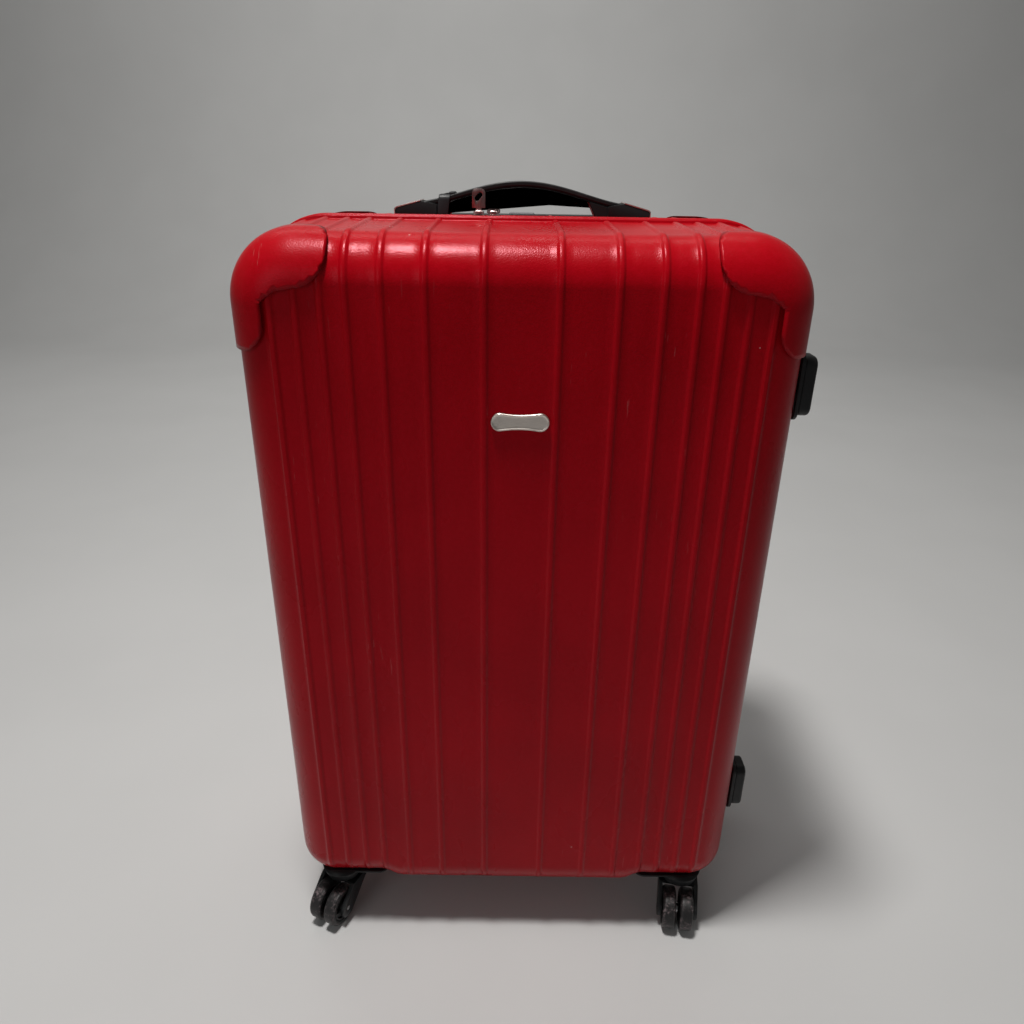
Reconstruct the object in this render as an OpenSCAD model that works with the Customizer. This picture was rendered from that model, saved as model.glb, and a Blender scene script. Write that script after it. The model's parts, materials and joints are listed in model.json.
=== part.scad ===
// Hard shell suitcase on four twin-wheel casters. Millimetres, +Z up.
// X runs to the right seen from the front, Y runs from front to back, the zip seam lies on Y = 0,
// and the origin is on the floor under the centre of the case.

/* [Case] */
// Width of the shells across the seam, without the rim bead
case_w = 498; // [460:2:520]
// Depth of the closed case
case_d = 300; // [290:2:320]
// Height of the shells' underside above the floor
case_bottom = 56; // [56:1:57]
// Height of the shells' top at the seam
case_top = 786; // [780:1:790]
// Radius of the two top corners, seen from the front
top_corner_r = 58; // [50:1:62]
// Radius of the two bottom corners, seen from the front
bottom_corner_r = 41; // [40:1:44]
// Radius between the large faces and the sides
edge_r = 40; // [36:1:40]
// How far each side leans in from the seam to the face
draft = 3; // [2:0.5:4]
// Thickness of the moulded wall
wall = 3; // [2.5:0.5:3]

/* [Ribs and rim] */
// Width of a raised rib
rib_w = 4.5; // [3:0.5:6]
// Height of a raised rib
rib_h = 1.8; // [1:0.2:2]
// Height of the rim bead above the shell
bead_h = 4; // [3:0.5:4]
// Width of the rim bead along the depth
bead_w = 6; // [5:0.5:8]
// Height of the moulded guards on the top corners
guard_h = 3.5; // [2:0.5:4]

/* [Casters] */
// Distance of a swivel axis from the centre, across the case
swivel_x = 203; // [198:1:204]
// Distance of a swivel axis from the seam
swivel_y = 113; // [108:1:114]
// Radius of a wheel
wheel_r = 23.5; // [22:0.5:23.5]
// Width of one wheel of a pair
wheel_w = 15; // [13:0.5:15]
// Distance of the axle behind the swivel axis
trail = 26; // [25:0.5:27]
// Turn of each caster at rest: front left, front right, back left, back right
caster_turn = [-25, -8.5, 171.5, 155];

/* [Pull handle] */
// Distance of a tube from the centre
tube_x = 70; // [60:1:75]
// Distance of the tubes behind the seam
tube_y = 126; // [125:1:127]

/* [Carry handles] */
// Height of the top handle's arch above the shell
top_arch = 35; // [33:1:38]
// Height of the side handle's arch above the shell
side_arch = 20; // [19:0.5:21]
// Distance of both carry handles behind the seam
handle_y = 32; // [31:1:34]
// Width of the handle strap
strap_w = 24; // [20:1:24]

/* [Hidden] */

red = [0.47, 0.02, 0.05];
black = [0.05, 0.05, 0.055];
steel = [0.62, 0.62, 0.64];
round_fn = 64;
hull_fn = 32;
half_w = case_w / 2;
half_d = case_d / 2;
zip_gap = 4;                         // half of the seam that the two zip tapes fill
corner_step = 10;                    // how far the corners' underside is raised for the casters
step_x = 146;                        // half width of the lower middle part
rib_x = [31.2, 79.5, 115.7, 144.7, 165.6, 186.5, 207.4];
foot_z = [183, 654];                 // middles of the side feet
foot_y = 95;
foot_proud = 266 - half_w;
foot_gap = 0.6;
plate_top = case_bottom + corner_step - 0.3;
plate_t = 6;
bowl_r = 21;
bowl_h = 10;
bowl_bottom = plate_top - plate_t - bowl_h;
pin_r = 4;                           // swivel pin
axle_r = 3;
run_fit = 0.05;                      // radial play of a turning fit
wheel_gap = 5;                       // between the two wheels of a pair
arm_in = wheel_gap / 2 + wheel_w + 1;
arm_t = 4.5;
bezel_top = 783;
bezel_floor = 764;
bezel_x = 104;
bezel_y = [tube_y - 13.5, tube_y + 13.5];
tube_bottom = 84;
side_z = 423;                        // middle of the side handle
mount_out = 125;                     // outer end of a handle mount
mount_in = 62;                       // inner end of the strap's deep tabs
mount_face = 84;                     // inner end of a handle mount
tab_end = 98;                        // where the strap's end stops inside its mount
lift = 6;                            // travel of a carry handle
cross_pin_x = 91;
cross_pin_r = 2.5;
slider_x = [-42, -28];
slider_l = 12;
pull_h = 4.8;                        // bar above the slider's lower face
pull_pin_r = 1;
tape_out = 1.5;                      // zip tape above the shell
tape_in = 6;
lining_t = 1.5;
lining_gap = 0.4;
lining_edge = 10;                    // distance of the lining's edge from the seam
lining_y = half_d - wall - lining_gap - lining_t;    // inner face of the lining
strap_plane = 112;                   // where the packing straps lie, behind the seam
cover_x = 91;                        // half width of the board in front of the tubes
bezel_base = 8;                      // thickness of the bezel's floor
outer_tube = [22, 16, 1.5];          // width, depth and wall
mid_tube = [18.6, 12.6, 1.2];
inner_tube = [15.8, 9.8, 1.2];
mid_bottom = 330;
inner_bottom = 360;
button = [28, 12, 5.6];
button_z = bezel_floor + 17.2;
button_travel = 3;

guard_x = 160;                       // inner end of a corner guard along the top
guard_z = 748;                       // its lower edge on the large face
guard_tip_x = 218;
guard_tip_z = 688;
guard_start = 98;                    // distance from the seam at which it begins
guard_inner_r = 18;                  // rounding between its two legs
guard_outer_r = 11;                  // rounding of their ends

strap_play = 0.4;                    // between a strap and its mount's cheeks
mount_cheek = 3.5;
top_seat = 0.3;                      // top mounts' lower face above the shell
side_seat = 0.5;
top_thick = 7;
top_pad = 12;
top_pin_h = 12;                      // height of the cross pin above the mount's lower face
side_thick = 4;
side_pad = 4.5;
side_pin_h = 4.1;
side_reach = side_arch - 2.7;        // keeps the handle level with the feet on the other side
zip_top = case_top + tape_out;
slider_z = zip_top + 0.3;

// ---- shells ----

// Rounded rectangle from the underside to the top: x reach, bottom, top, corner radii
module face_outline(x, zb, zt, rt, rb) {
    hull() for (s = [-1, 1]) {
        translate([s * (x - rt), zt - rt]) circle(rt, $fn = hull_fn * 2);
        translate([s * (x - rb), zb + rb]) circle(rb, $fn = hull_fn * 2);
    }
}

// Front outline of a shell with its stepped underside, grown by g
module case_outline(g) {
    offset(r = g, $fn = hull_fn * 2) {
        face_outline(half_w, case_bottom + corner_step, case_top, top_corner_r, bottom_corner_r);
        face_outline(step_x, case_bottom, case_top, 20, 12);
    }
}

// Corner of the rounded face: a disc of radius r whose rim is rounded with radius e
module pillow(r, e) {
    rotate_extrude($fn = hull_fn) intersection() {
        translate([max(r - e, 0), 0]) circle(min(e, r), $fn = hull_fn);
        square(2 * r);
    }
}

// Solid half of the case, seam on z = 0 and face towards +z, before it is turned upright
module half_block(x, zb, zt, rt, rb, g) {
    depth = half_d + g;
    e = edge_r + g;
    hull() {
        linear_extrude(bead_w) face_outline(x + g, zb - g, zt + g, rt + g, rb + g);
        for (s = [-1, 1]) {
            translate([s * (x - draft - rt), zt - draft - rt, depth - e]) pillow(rt + g, e);
            translate([s * (x - draft - max(rb, e - g)), zb + draft + max(rb, e - g), depth - e])
                pillow(max(rb + g, e), e);
        }
    }
}

module half_solid(g) {
    half_block(half_w, case_bottom + corner_step, case_top, top_corner_r, bottom_corner_r, g);
    half_block(step_x, case_bottom, case_top - 30, edge_r, edge_r, g);
}

// Moulded guard on a top corner, before the shell's inside is cut away
module guard_block(s) {
    intersection() {
        half_block(half_w, case_bottom + corner_step, case_top, top_corner_r, bottom_corner_r, guard_h);
        translate([0, 0, guard_start]) linear_extrude(half_d) scale([s, 1])
            offset(r = -guard_inner_r, $fn = hull_fn)
                offset(r = guard_inner_r + guard_outer_r, $fn = hull_fn)
                    offset(delta = -guard_outer_r) {
                        translate([guard_x, guard_z]) square(half_w);
                        translate([guard_tip_x, guard_tip_z]) square(half_w);
                    }
    }
}

// Everything of a half that lies nearer to the seam than d
module below_depth(d) {
    translate([-case_w, 0, -1]) cube([2 * case_w, 2 * case_top, d + 1]);
}

module half_shell() {
    difference() {
        union() {
            half_solid(0);
            intersection() {
                half_solid(rib_h);
                for (x = rib_x, s = [-1, 1])
                    translate([s * x - rib_w / 2, 0, 0]) cube([rib_w, 2 * case_top, 2 * half_d]);
            }
            linear_extrude(zip_gap + bead_w) case_outline(bead_h);
            guard_block(-1);
            guard_block(1);
        }
        half_solid(-wall);
        below_depth(zip_gap);
    }
}

// Turns a half made on z = 0 upright: the face looks to the front (-1) or to the back (1)
module upright(side) {
    mirror([0, side > 0 ? 1 : 0, 0]) rotate([90, 0, 0]) children();
}

module bezel_cut(g) {
    translate([-bezel_x - g, bezel_y[0] - g, bezel_floor - bezel_base - g])
        cube([2 * (bezel_x + g), bezel_y[1] - bezel_y[0] + 2 * g, 2 * edge_r]);
}

// Space that a caster's swivel pin needs in a shell
module pin_cuts(side) {
    room_r = 9;
    room_h = 24;
    for (s = [-1, 1])
        translate([s * swivel_x, side * swivel_y, case_bottom])
            cylinder(r = room_r, h = room_h, $fn = hull_fn);
}

module front_shell() color(red) difference() {
    upright(-1) half_shell();
    pin_cuts(-1);
}

// Flat seats for a pair of carry handle mounts
module seat_pair() {
    seat_play = 0.5;
    seat_h = 20;
    length = mount_out - mount_face + 2 * seat_play;
    width = strap_w + 2 * (strap_play + mount_cheek + seat_play);
    for (s = [-1, 1])
        translate([s * (mount_out + mount_face) / 2 - length / 2, -width / 2, -0.1])
            cube([length, width, seat_h]);
}

module back_shell() color(red) difference() {
    upright(1) half_shell();
    bezel_cut(0.3);
    pin_cuts(1);
    on_top() seat_pair();
    on_side() seat_pair();
}

module lining(side) {
    upright(side) difference() {
        half_block(half_w, case_bottom + corner_step, case_top, top_corner_r, bottom_corner_r,
            -wall - lining_gap);
        half_block(half_w, case_bottom + corner_step, case_top, top_corner_r, bottom_corner_r,
            -wall - lining_gap - lining_t);
        below_depth(lining_edge);
    }
}

module front_lining() color("dimgray") difference() {
    lining(-1);
    pin_cuts(-1);
}

module back_lining() color("dimgray") difference() {
    hole_x = cover_x + 2;
    hole_z = [60, 770];
    lining(1);
    bezel_cut(0.8);
    pin_cuts(1);
    // opening behind the cover board
    translate([-hole_x, strap_plane - 2, hole_z[0]]) cube([2 * hole_x, half_d, hole_z[1] - hole_z[0]]);
}

module zip_tape(side) {
    seam_play = 0.2;
    upright(side) translate([0, 0, seam_play]) linear_extrude(zip_gap - 2 * seam_play) difference() {
        case_outline(tape_out);
        case_outline(-tape_in);
    }
}

module front_zip_tape() color(black) zip_tape(-1);
module back_zip_tape() color(black) zip_tape(1);

// Fabric strip inside the right side, sewn to the back half
module hinge_tape() color(black) {
    size = [1.2, 26, 560];
    wall_gap = 3.2;
    translate([half_w - wall - wall_gap - size[0], zip_gap + 0.6, 130]) cube(size);
}

// ---- side feet, badge, pocket ----

module side_foot() {
    height = 62;
    depth = 34;
    base_t = 4;
    base_r = 9;
    pad_r = 8;
    pad_inset = 4;
    pad_edge = 2 * (pad_r + pad_inset);
    rotate([0, 90, 0]) {
        linear_extrude(base_t) offset(r = base_r, $fn = round_fn)
            square([height - 2 * base_r, depth - 2 * base_r], center = true);
        linear_extrude(foot_proud - foot_gap) offset(r = pad_r, $fn = round_fn)
            square([height - pad_edge, depth - pad_edge], center = true);
    }
}

module side_feet(side) color(black)
    for (z = foot_z) translate([half_w + foot_gap, side * foot_y, z]) side_foot();

module front_side_feet() side_feet(-1);
module back_side_feet() side_feet(1);

// Name plate without any mark: rounded ends and a slight waist
module badge() color(steel) {
    end_r = 8.5;
    half_l = 25.5;
    waist_r = 130;
    waist = 1.5;
    badge_t = 2.6;
    badge_z = 631;
    translate([0, -half_d - 0.2, badge_z]) rotate([90, 0, 0]) linear_extrude(badge_t) difference() {
        hull() for (s = [-1, 1]) translate([s * (half_l - end_r), 0]) circle(end_r, $fn = round_fn);
        for (s = [-1, 1]) translate([0, s * (waist_r + end_r - waist)]) circle(waist_r, $fn = 180);
    }
}

// Flat zipped pocket on the front half's inner face
module front_pocket() color("dimgray") {
    size = [340, 3, 320];
    translate([-size[0] / 2, 0.4 - lining_y, 330]) cube(size);
}

// ---- pull handle ----

module tube(size, z0, z1) {
    wall_t = size[2];
    for (s = [-1, 1]) translate([s * tube_x, tube_y, z0]) difference() {
        translate([-size[0] / 2, -size[1] / 2, 0]) cube([size[0], size[1], z1 - z0]);
        translate([wall_t - size[0] / 2, wall_t - size[1] / 2, -1])
            cube([size[0] - 2 * wall_t, size[1] - 2 * wall_t, z1 - z0 + 2]);
    }
}

module trolley_outer_tubes() color(steel) tube(outer_tube, tube_bottom, bezel_floor - bezel_base - 0.4);
module trolley_mid_tubes() color(steel) tube(mid_tube, mid_bottom, bezel_floor);
module trolley_inner_tubes() color(steel) tube(inner_tube, inner_bottom, bezel_floor + 7);

// Recessed frame round the grip; its back edge follows the shell's curve
module trolley_bezel() color(black) {
    rim = 3;
    tube_play = 0.2;
    curve = [[0, -7], [-3, -2], [-9, 0]];
    hole = [mid_tube[0] + 2 * tube_play, mid_tube[1] + 2 * tube_play, 2 * bezel_base];
    difference() {
        translate([-bezel_x, 0, 0]) rotate([90, 0, 90]) linear_extrude(2 * bezel_x) polygon(concat(
            [[bezel_y[0], bezel_floor - bezel_base], [bezel_y[1], bezel_floor - bezel_base]],
            [for (p = curve) [bezel_y[1] + p[0], bezel_top + p[1]]],
            [[bezel_y[0], bezel_top]]));
        translate([rim - bezel_x, bezel_y[0] + rim, bezel_floor])
            cube([2 * (bezel_x - rim), bezel_y[1] - bezel_y[0] - 2 * rim, edge_r]);
        for (s = [-1, 1])
            translate([s * tube_x - hole[0] / 2, tube_y - hole[1] / 2, bezel_floor - bezel_base - 1])
                cube(hole);
    }
}

bracket_front = 11;                  // reach of the foot bracket in front of the tubes' middle

module trolley_foot_bracket() color(black) {
    bar = [180, 19, 10.7];
    plug = [18.4, 12.4, 18];
    translate([-bar[0] / 2, tube_y - bracket_front, tube_bottom - 0.3 - bar[2]]) cube(bar);
    for (s = [-1, 1])
        translate([s * tube_x - plug[0] / 2, tube_y - plug[1] / 2, tube_bottom - 0.5]) cube(plug);
}

// Screw heads on the front of the foot bracket
module trolley_screws() color(steel) {
    head_r = 3.5;
    head_h = 2;
    for (x = [-50, 0, 50])
        translate([x, tube_y - bracket_front - 0.2, tube_bottom - 5.5]) rotate([90, 0, 0])
            cylinder(r = head_r, h = head_h, $fn = round_fn);
}

module trolley_cover() color("dimgray") difference() {
    board_t = 1.6;
    back_gap = 3;
    y0 = strap_plane + 2;
    z0 = tube_bottom + 1;
    z1 = bezel_floor - bezel_base - 1;
    translate([-cover_x, y0, z0]) cube([2 * cover_x, lining_y - y0 - back_gap, z1 - z0]);
    translate([board_t - cover_x, y0 + board_t, z0 - 1])
        cube([2 * (cover_x - board_t), half_d, z1 - z0 + 2]);
}

module trolley_grip() color(black) difference() {
    bar_x = 97;
    bar_h = 13;
    side_gap = 4.5;
    leg_w = 23;
    leg_z = bezel_floor + 1;
    bar_z = bezel_floor + 8.2;
    deep = bezel_y[1] - bezel_y[0] - 2 * side_gap;
    button_play = 0.3;
    socket = [inner_tube[0], inner_tube[1], 8];
    union() {
        translate([-bar_x, bezel_y[0] + side_gap, bar_z]) cube([2 * bar_x, deep, bar_h]);
        for (s = [-1, 1])
            translate([s * tube_x - leg_w / 2, bezel_y[0] + side_gap, leg_z])
                cube([leg_w, deep, bar_z - leg_z + 0.2]);
    }
    for (s = [-1, 1])
        translate([s * tube_x - socket[0] / 2, tube_y - socket[1] / 2, bezel_floor - 1]) cube(socket);
    translate([0, tube_y, button_z - button_travel - 0.2 + edge_r / 2])
        cube([button[0] + 2 * button_play, button[1] + 2 * button_play, edge_r], center = true);
}

module grip_button() color("dimgray")
    translate([-button[0] / 2, tube_y - button[1] / 2, button_z]) cube(button);

// ---- carry handles, drawn lying along x with the shell's surface on y = 0 ----

// Height of the strap's upper face at x, for an arch of height h
function strap_top(x, h) =
    let (end_h = h * 0.40, a = min(abs(x) / 112, 1)) end_h + (h - end_h) * (cos(180 * a) + 1) / 2;

// Outline of the strap: arch in the middle, deep tabs at both ends
module strap_outline(h, thick) {
    steps = 28;
    upper = [for (i = [0:steps]) let (x = -tab_end + 2 * tab_end * i / steps) [x, strap_top(x, h)]];
    lower = [for (i = [steps:-1:0]) let (x = -mount_in + 2 * mount_in * i / steps)
        [x, strap_top(x, h) - thick]];
    polygon(concat(upper, [[tab_end, 2], [mount_in + 6, 2]], lower, [[-mount_in - 6, 2], [-tab_end, 2]]));
}

// Strap with a slot at each end, along which it slides on the mount's cross pin
module strap_solid(h, thick, pin_h) {
    slot_r = cross_pin_r + 0.2;
    slot_low = pin_h - lift - 0.05;
    translate([0, strap_w / 2, 0]) rotate([90, 0, 0]) linear_extrude(strap_w) difference() {
        strap_outline(h, thick);
        for (s = [-1, 1]) hull() {
            translate([s * cross_pin_x, slot_low]) circle(slot_r, $fn = round_fn);
            translate([s * cross_pin_x, pin_h]) circle(slot_r, $fn = round_fn);
        }
    }
}

// Soft pad under the middle of the strap
module pad_solid(h, thick, pad) {
    reach = 60;
    steps = 24;
    upper = [for (i = [0:steps]) let (x = -reach + 2 * reach * i / steps) [x, strap_top(x, h) - thick - 0.1]];
    lower = [for (i = [steps:-1:0]) let (x = -reach + 2 * reach * i / steps)
        [x, strap_top(x, h) - thick - pad * pow(1 - pow(abs(x) / reach, 4), 0.5) - 0.4]];
    translate([0, strap_w / 2 - 1, 0]) rotate([90, 0, 0]) linear_extrude(strap_w - 2)
        polygon(concat(upper, lower));
}

// Two mounts with an open channel for the strap's ends and a pin across each
module mount_pair(h, pin_h) {
    outer_h = strap_top(tab_end, h);
    inner_w = strap_w + 2 * strap_play;
    floor_t = 1.5;
    for (s = [0, 1]) mirror([s, 0, 0]) {
        difference() {
            translate([0, inner_w / 2 + mount_cheek, 0]) rotate([90, 0, 0])
                linear_extrude(inner_w + 2 * mount_cheek)
                    polygon([[mount_face, 0], [mount_out, 0], [mount_out, outer_h * 0.62],
                        [tab_end + 2, outer_h + 1], [mount_face, outer_h * 0.9]]);
            translate([mount_in, -inner_w / 2, floor_t]) cube([tab_end + 0.6 - mount_in, inner_w, 2 * h]);
        }
        translate([cross_pin_x, strap_w / 2 + 1, pin_h]) rotate([90, 0, 0])
            cylinder(r = cross_pin_r, h = strap_w + 2, $fn = round_fn);
    }
}

// Metal plates on the sloping outer ends of the mounts
module trim_pair(h) {
    outer_h = strap_top(tab_end, h);
    for (s = [0, 1]) mirror([s, 0, 0])
        translate([0, strap_w / 2 - 1, 0]) rotate([90, 0, 0]) linear_extrude(strap_w - 2)
            polygon([[mount_out, outer_h * 0.62 + 0.15], [mount_out - 1, outer_h * 0.62 + 1.4],
                [tab_end + 2, outer_h + 2.1], [tab_end + 2, outer_h + 1.15]]);
}

module on_top() translate([0, handle_y, case_top - draft * handle_y / (half_d - edge_r) + top_seat])
    children();
module on_side() translate([-half_w + draft * handle_y / (half_d - edge_r) - side_seat, handle_y, side_z])
    rotate([0, -90, 0]) children();

module top_handle_strap() color(black) on_top() strap_solid(top_arch, top_thick, top_pin_h);
module top_handle_grip() color(black) on_top() pad_solid(top_arch, top_thick, top_pad);
module top_handle_mounts() color(black) on_top() mount_pair(top_arch, top_pin_h);
module top_handle_trims() color(steel) on_top() trim_pair(top_arch);
module side_handle_strap() color(black) on_side() strap_solid(side_reach, side_thick, side_pin_h);
module side_handle_grip() color(black) on_side() pad_solid(side_reach, side_thick, side_pad);
module side_handle_mounts() color(black) on_side() mount_pair(side_reach, side_pin_h);
module side_handle_trims() color(steel) on_side() trim_pair(side_reach);

// Rubber band round the left end of the top handle
module tag_strap() color(black) on_top() {
    band_x = -70;
    band_w = 11;
    band_t = 1.2;
    play = 0.3;
    intersection() {
        translate([band_x - band_w / 2, -strap_w, 0]) cube([band_w, 2 * strap_w, 3 * top_arch]);
        difference() {
            translate([0, strap_w / 2 + play + band_t, 0]) rotate([90, 0, 0])
                linear_extrude(strap_w + 2 * (play + band_t)) offset(delta = play + band_t)
                    strap_outline(top_arch, top_thick);
            translate([0, strap_w / 2 + play, 0]) rotate([90, 0, 0])
                linear_extrude(strap_w + 2 * play) offset(delta = play) strap_outline(top_arch, top_thick);
        }
    }
}

// ---- packing straps ----

module cross_straps() color("dimgray") {
    web = [25, 2];
    start = 32;
    rise = 230;
    reach = 185;
    end = sqrt(rise * rise + reach * reach);
    lean = atan2(rise, reach);
    for (sx = [-1, 1], sz = [-1, 1])
        translate([0, strap_plane, side_z]) rotate([0, -sz * sx * lean, 0])
            translate([sx > 0 ? start : -end, -web[1] / 2, -web[0] / 2]) cube([end - start, web[1], web[0]]);
}

module strap_buckle() color(black) {
    size = [50, 6, 40];
    translate([-size[0] / 2, strap_plane - 4, side_z - size[2] / 2]) cube(size);
}

module strap_anchors() color(black) {
    size = [20, 4, 28];
    place = [197, 245];
    for (sx = [-1, 1], sz = [-1, 1])
        translate([sx * place[0], strap_plane, side_z + sz * place[1]]) cube(size, center = true);
}

// ---- zip sliders ----

// Body with two ears that hold the pull's bar
module zip_slider(x) color(steel) translate([x, 0, slider_z]) {
    body = [slider_l, 8, 2.4];
    ear = [1.6, 3.2, pull_h - 1.3];
    ear_x = 4.2;
    translate([-body[0] / 2, -body[1] / 2, 0]) cube(body);
    for (s = [-1, 1]) translate([s * ear_x - ear[0] / 2, -ear[1] / 2, body[2] - 0.1]) cube(ear);
    translate([-4.5, 0, pull_h]) rotate([0, 90, 0]) cylinder(r = pull_pin_r, h = 9, $fn = round_fn);
}

// Tab with a slanted oval hole, standing along +z on a barrel round the slider's bar
module pull_tab() {
    w = 12.5;
    l = 21;
    t = 1.8;
    corner_r = 4;
    neck_w = 5.2;
    hole_r = 2.4;
    hole = [[-1.3, l - 8.4], [1.3, l - 5.4]];
    barrel_r = 2.2;
    barrel_l = 5.8;
    difference() {
        union() {
            rotate([90, 0, 0]) translate([0, 0, -t / 2]) linear_extrude(t) difference() {
                union() {
                    translate([-w / 2, corner_r]) square([w, l - 2 * corner_r]);
                    hull() for (s = [-1, 1])
                        translate([s * (w / 2 - corner_r), l - corner_r]) circle(corner_r, $fn = round_fn);
                    translate([-neck_w / 2, 0]) square([neck_w, corner_r + 1]);
                }
                hull() for (p = hole) translate(p) circle(hole_r, $fn = round_fn);
            }
            translate([-barrel_l / 2, 0, 0]) rotate([0, 90, 0])
                cylinder(r = barrel_r, h = barrel_l, $fn = round_fn);
        }
        translate([-barrel_l, 0, 0]) rotate([0, 90, 0])
            cylinder(r = pull_pin_r + 0.08, h = 2 * barrel_l, $fn = round_fn);
    }
}

module zip_slider_a() zip_slider(slider_x[0]);
module zip_slider_b() zip_slider(slider_x[1]);
module zip_pull(x, lean) color(steel) translate([x, 0, slider_z + pull_h]) rotate([lean, 0, 0]) pull_tab();
module zip_pull_a() zip_pull(slider_x[0], 0);
module zip_pull_b() zip_pull(slider_x[1], -86);

// ---- casters ----

// Places a caster: i counts front left, front right, back left, back right
function corner_pos(i) = [(i % 2 == 0 ? -1 : 1) * swivel_x, (i < 2 ? -1 : 1) * swivel_y, 0];

module housing(i) color(black) difference() {
    p = corner_pos(i);
    sx = sign(p[0]);
    sy = sign(p[1]);
    plate = [82, 66];
    plate_r = 12;
    shift = [17, 6];
    union() {
        translate([p[0] - sx * shift[0], p[1] - sy * shift[1], plate_top - plate_t])
            linear_extrude(plate_t) offset(r = plate_r, $fn = round_fn)
                square([plate[0] - 2 * plate_r, plate[1] - 2 * plate_r], center = true);
        translate([p[0], p[1], bowl_bottom]) cylinder(r = bowl_r, h = bowl_h + 1, $fn = round_fn);
    }
    translate([p[0], p[1], bowl_bottom - 1]) cylinder(r = pin_r + run_fit, h = 40, $fn = round_fn);
}

// Parts of a caster that turn with it, drawn with the swivel axis on z and the trail towards -y
module turned(i) translate(corner_pos(i)) rotate([0, 0, caster_turn[i]]) children();

module fork(i) color(black) turned(i) {
    crown_top = bowl_bottom - 0.3;
    crown_t = 3.4;
    crown_y = 13;
    arm_tip_r = 11;
    boss = [8, 9];
    difference() {
        union() {
            for (s = [-1, 1]) translate([s * (arm_in + arm_t / 2) - arm_t / 2, 0, 0])
                rotate([90, 0, 90]) linear_extrude(arm_t) hull() {
                    translate([-trail, wheel_r]) circle(arm_tip_r, $fn = round_fn);
                    translate([-crown_y, crown_top - 6]) square([2 * crown_y, 6]);
                }
            translate([-arm_in - 1, -crown_y, crown_top - crown_t])
                cube([2 * arm_in + 2, 2 * crown_y, crown_t]);
            translate([0, 0, crown_top - boss[1]]) cylinder(r = boss[0], h = boss[1], $fn = round_fn);
            translate([0, 0, crown_top - 1]) cylinder(r = pin_r, h = bowl_h + plate_t + 3, $fn = round_fn);
        }
        translate([-40, -trail, wheel_r]) rotate([0, 90, 0])
            cylinder(r = axle_r + 0.02, h = 80, $fn = round_fn);
    }
}

module axle(i) color(steel) turned(i) translate([0, -trail, wheel_r]) rotate([0, 90, 0]) {
    reach = arm_in + arm_t - 0.4;
    spacer_r = 5.5;
    side_play = 0.5;
    translate([0, 0, -reach]) cylinder(r = axle_r, h = 2 * reach, $fn = round_fn);
    translate([0, 0, side_play - wheel_gap / 2])
        cylinder(r = spacer_r, h = wheel_gap - 2 * side_play, $fn = round_fn);
}

// Wheel with rounded shoulders and dished sides, side s of the pair
module wheel(i, s) color(black) {
    shoulder_r = 2.5;
    dish = 2;
    dish_r = [7, 17];
    turned(i) translate([s * (wheel_gap + wheel_w) / 2, -trail, wheel_r]) rotate([0, 90, 0])
        rotate_extrude($fn = round_fn * 1.5) difference() {
            offset(r = shoulder_r, $fn = hull_fn) offset(delta = -shoulder_r)
                translate([0, -wheel_w / 2]) square([wheel_r, wheel_w]);
            translate([-1, -wheel_w]) square([1 + axle_r + run_fit, 2 * wheel_w]);
            for (m = [0, 1]) mirror([0, m])
                translate([dish_r[0], wheel_w / 2 - dish]) square([dish_r[1] - dish_r[0], dish + 1]);
        }
}

back_shell();
back_lining();
back_zip_tape();
hinge_tape();
back_side_feet();
trolley_bezel();
trolley_outer_tubes();
trolley_foot_bracket();
trolley_screws();
trolley_cover();
trolley_mid_tubes();
trolley_inner_tubes();
trolley_grip();
grip_button();
top_handle_mounts();
top_handle_trims();
top_handle_strap();
top_handle_grip();
tag_strap();
side_handle_mounts();
side_handle_trims();
side_handle_strap();
side_handle_grip();
cross_straps();
strap_buckle();
strap_anchors();
zip_slider_a();
zip_pull_a();
zip_slider_b();
zip_pull_b();
front_shell();
front_lining();
front_zip_tape();
front_side_feet();
front_pocket();
badge();
housing(0);  // front_left_housing
fork(0);  // front_left_fork
axle(0);  // front_left_axle
wheel(0, -1);  // front_left_wheel_a
wheel(0, 1);  // front_left_wheel_b
housing(1);  // front_right_housing
fork(1);  // front_right_fork
axle(1);  // front_right_axle
wheel(1, -1);  // front_right_wheel_a
wheel(1, 1);  // front_right_wheel_b
housing(2);  // back_left_housing
fork(2);  // back_left_fork
axle(2);  // back_left_axle
wheel(2, -1);  // back_left_wheel_a
wheel(2, 1);  // back_left_wheel_b
housing(3);  // back_right_housing
fork(3);  // back_right_fork
axle(3);  // back_right_axle
wheel(3, -1);  // back_right_wheel_a
wheel(3, 1);  // back_right_wheel_b
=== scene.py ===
import json
import math

import bmesh
import bpy
import numpy as np
from mathutils import Matrix, Vector
from mathutils.geometry import delaunay_2d_cdt


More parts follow.
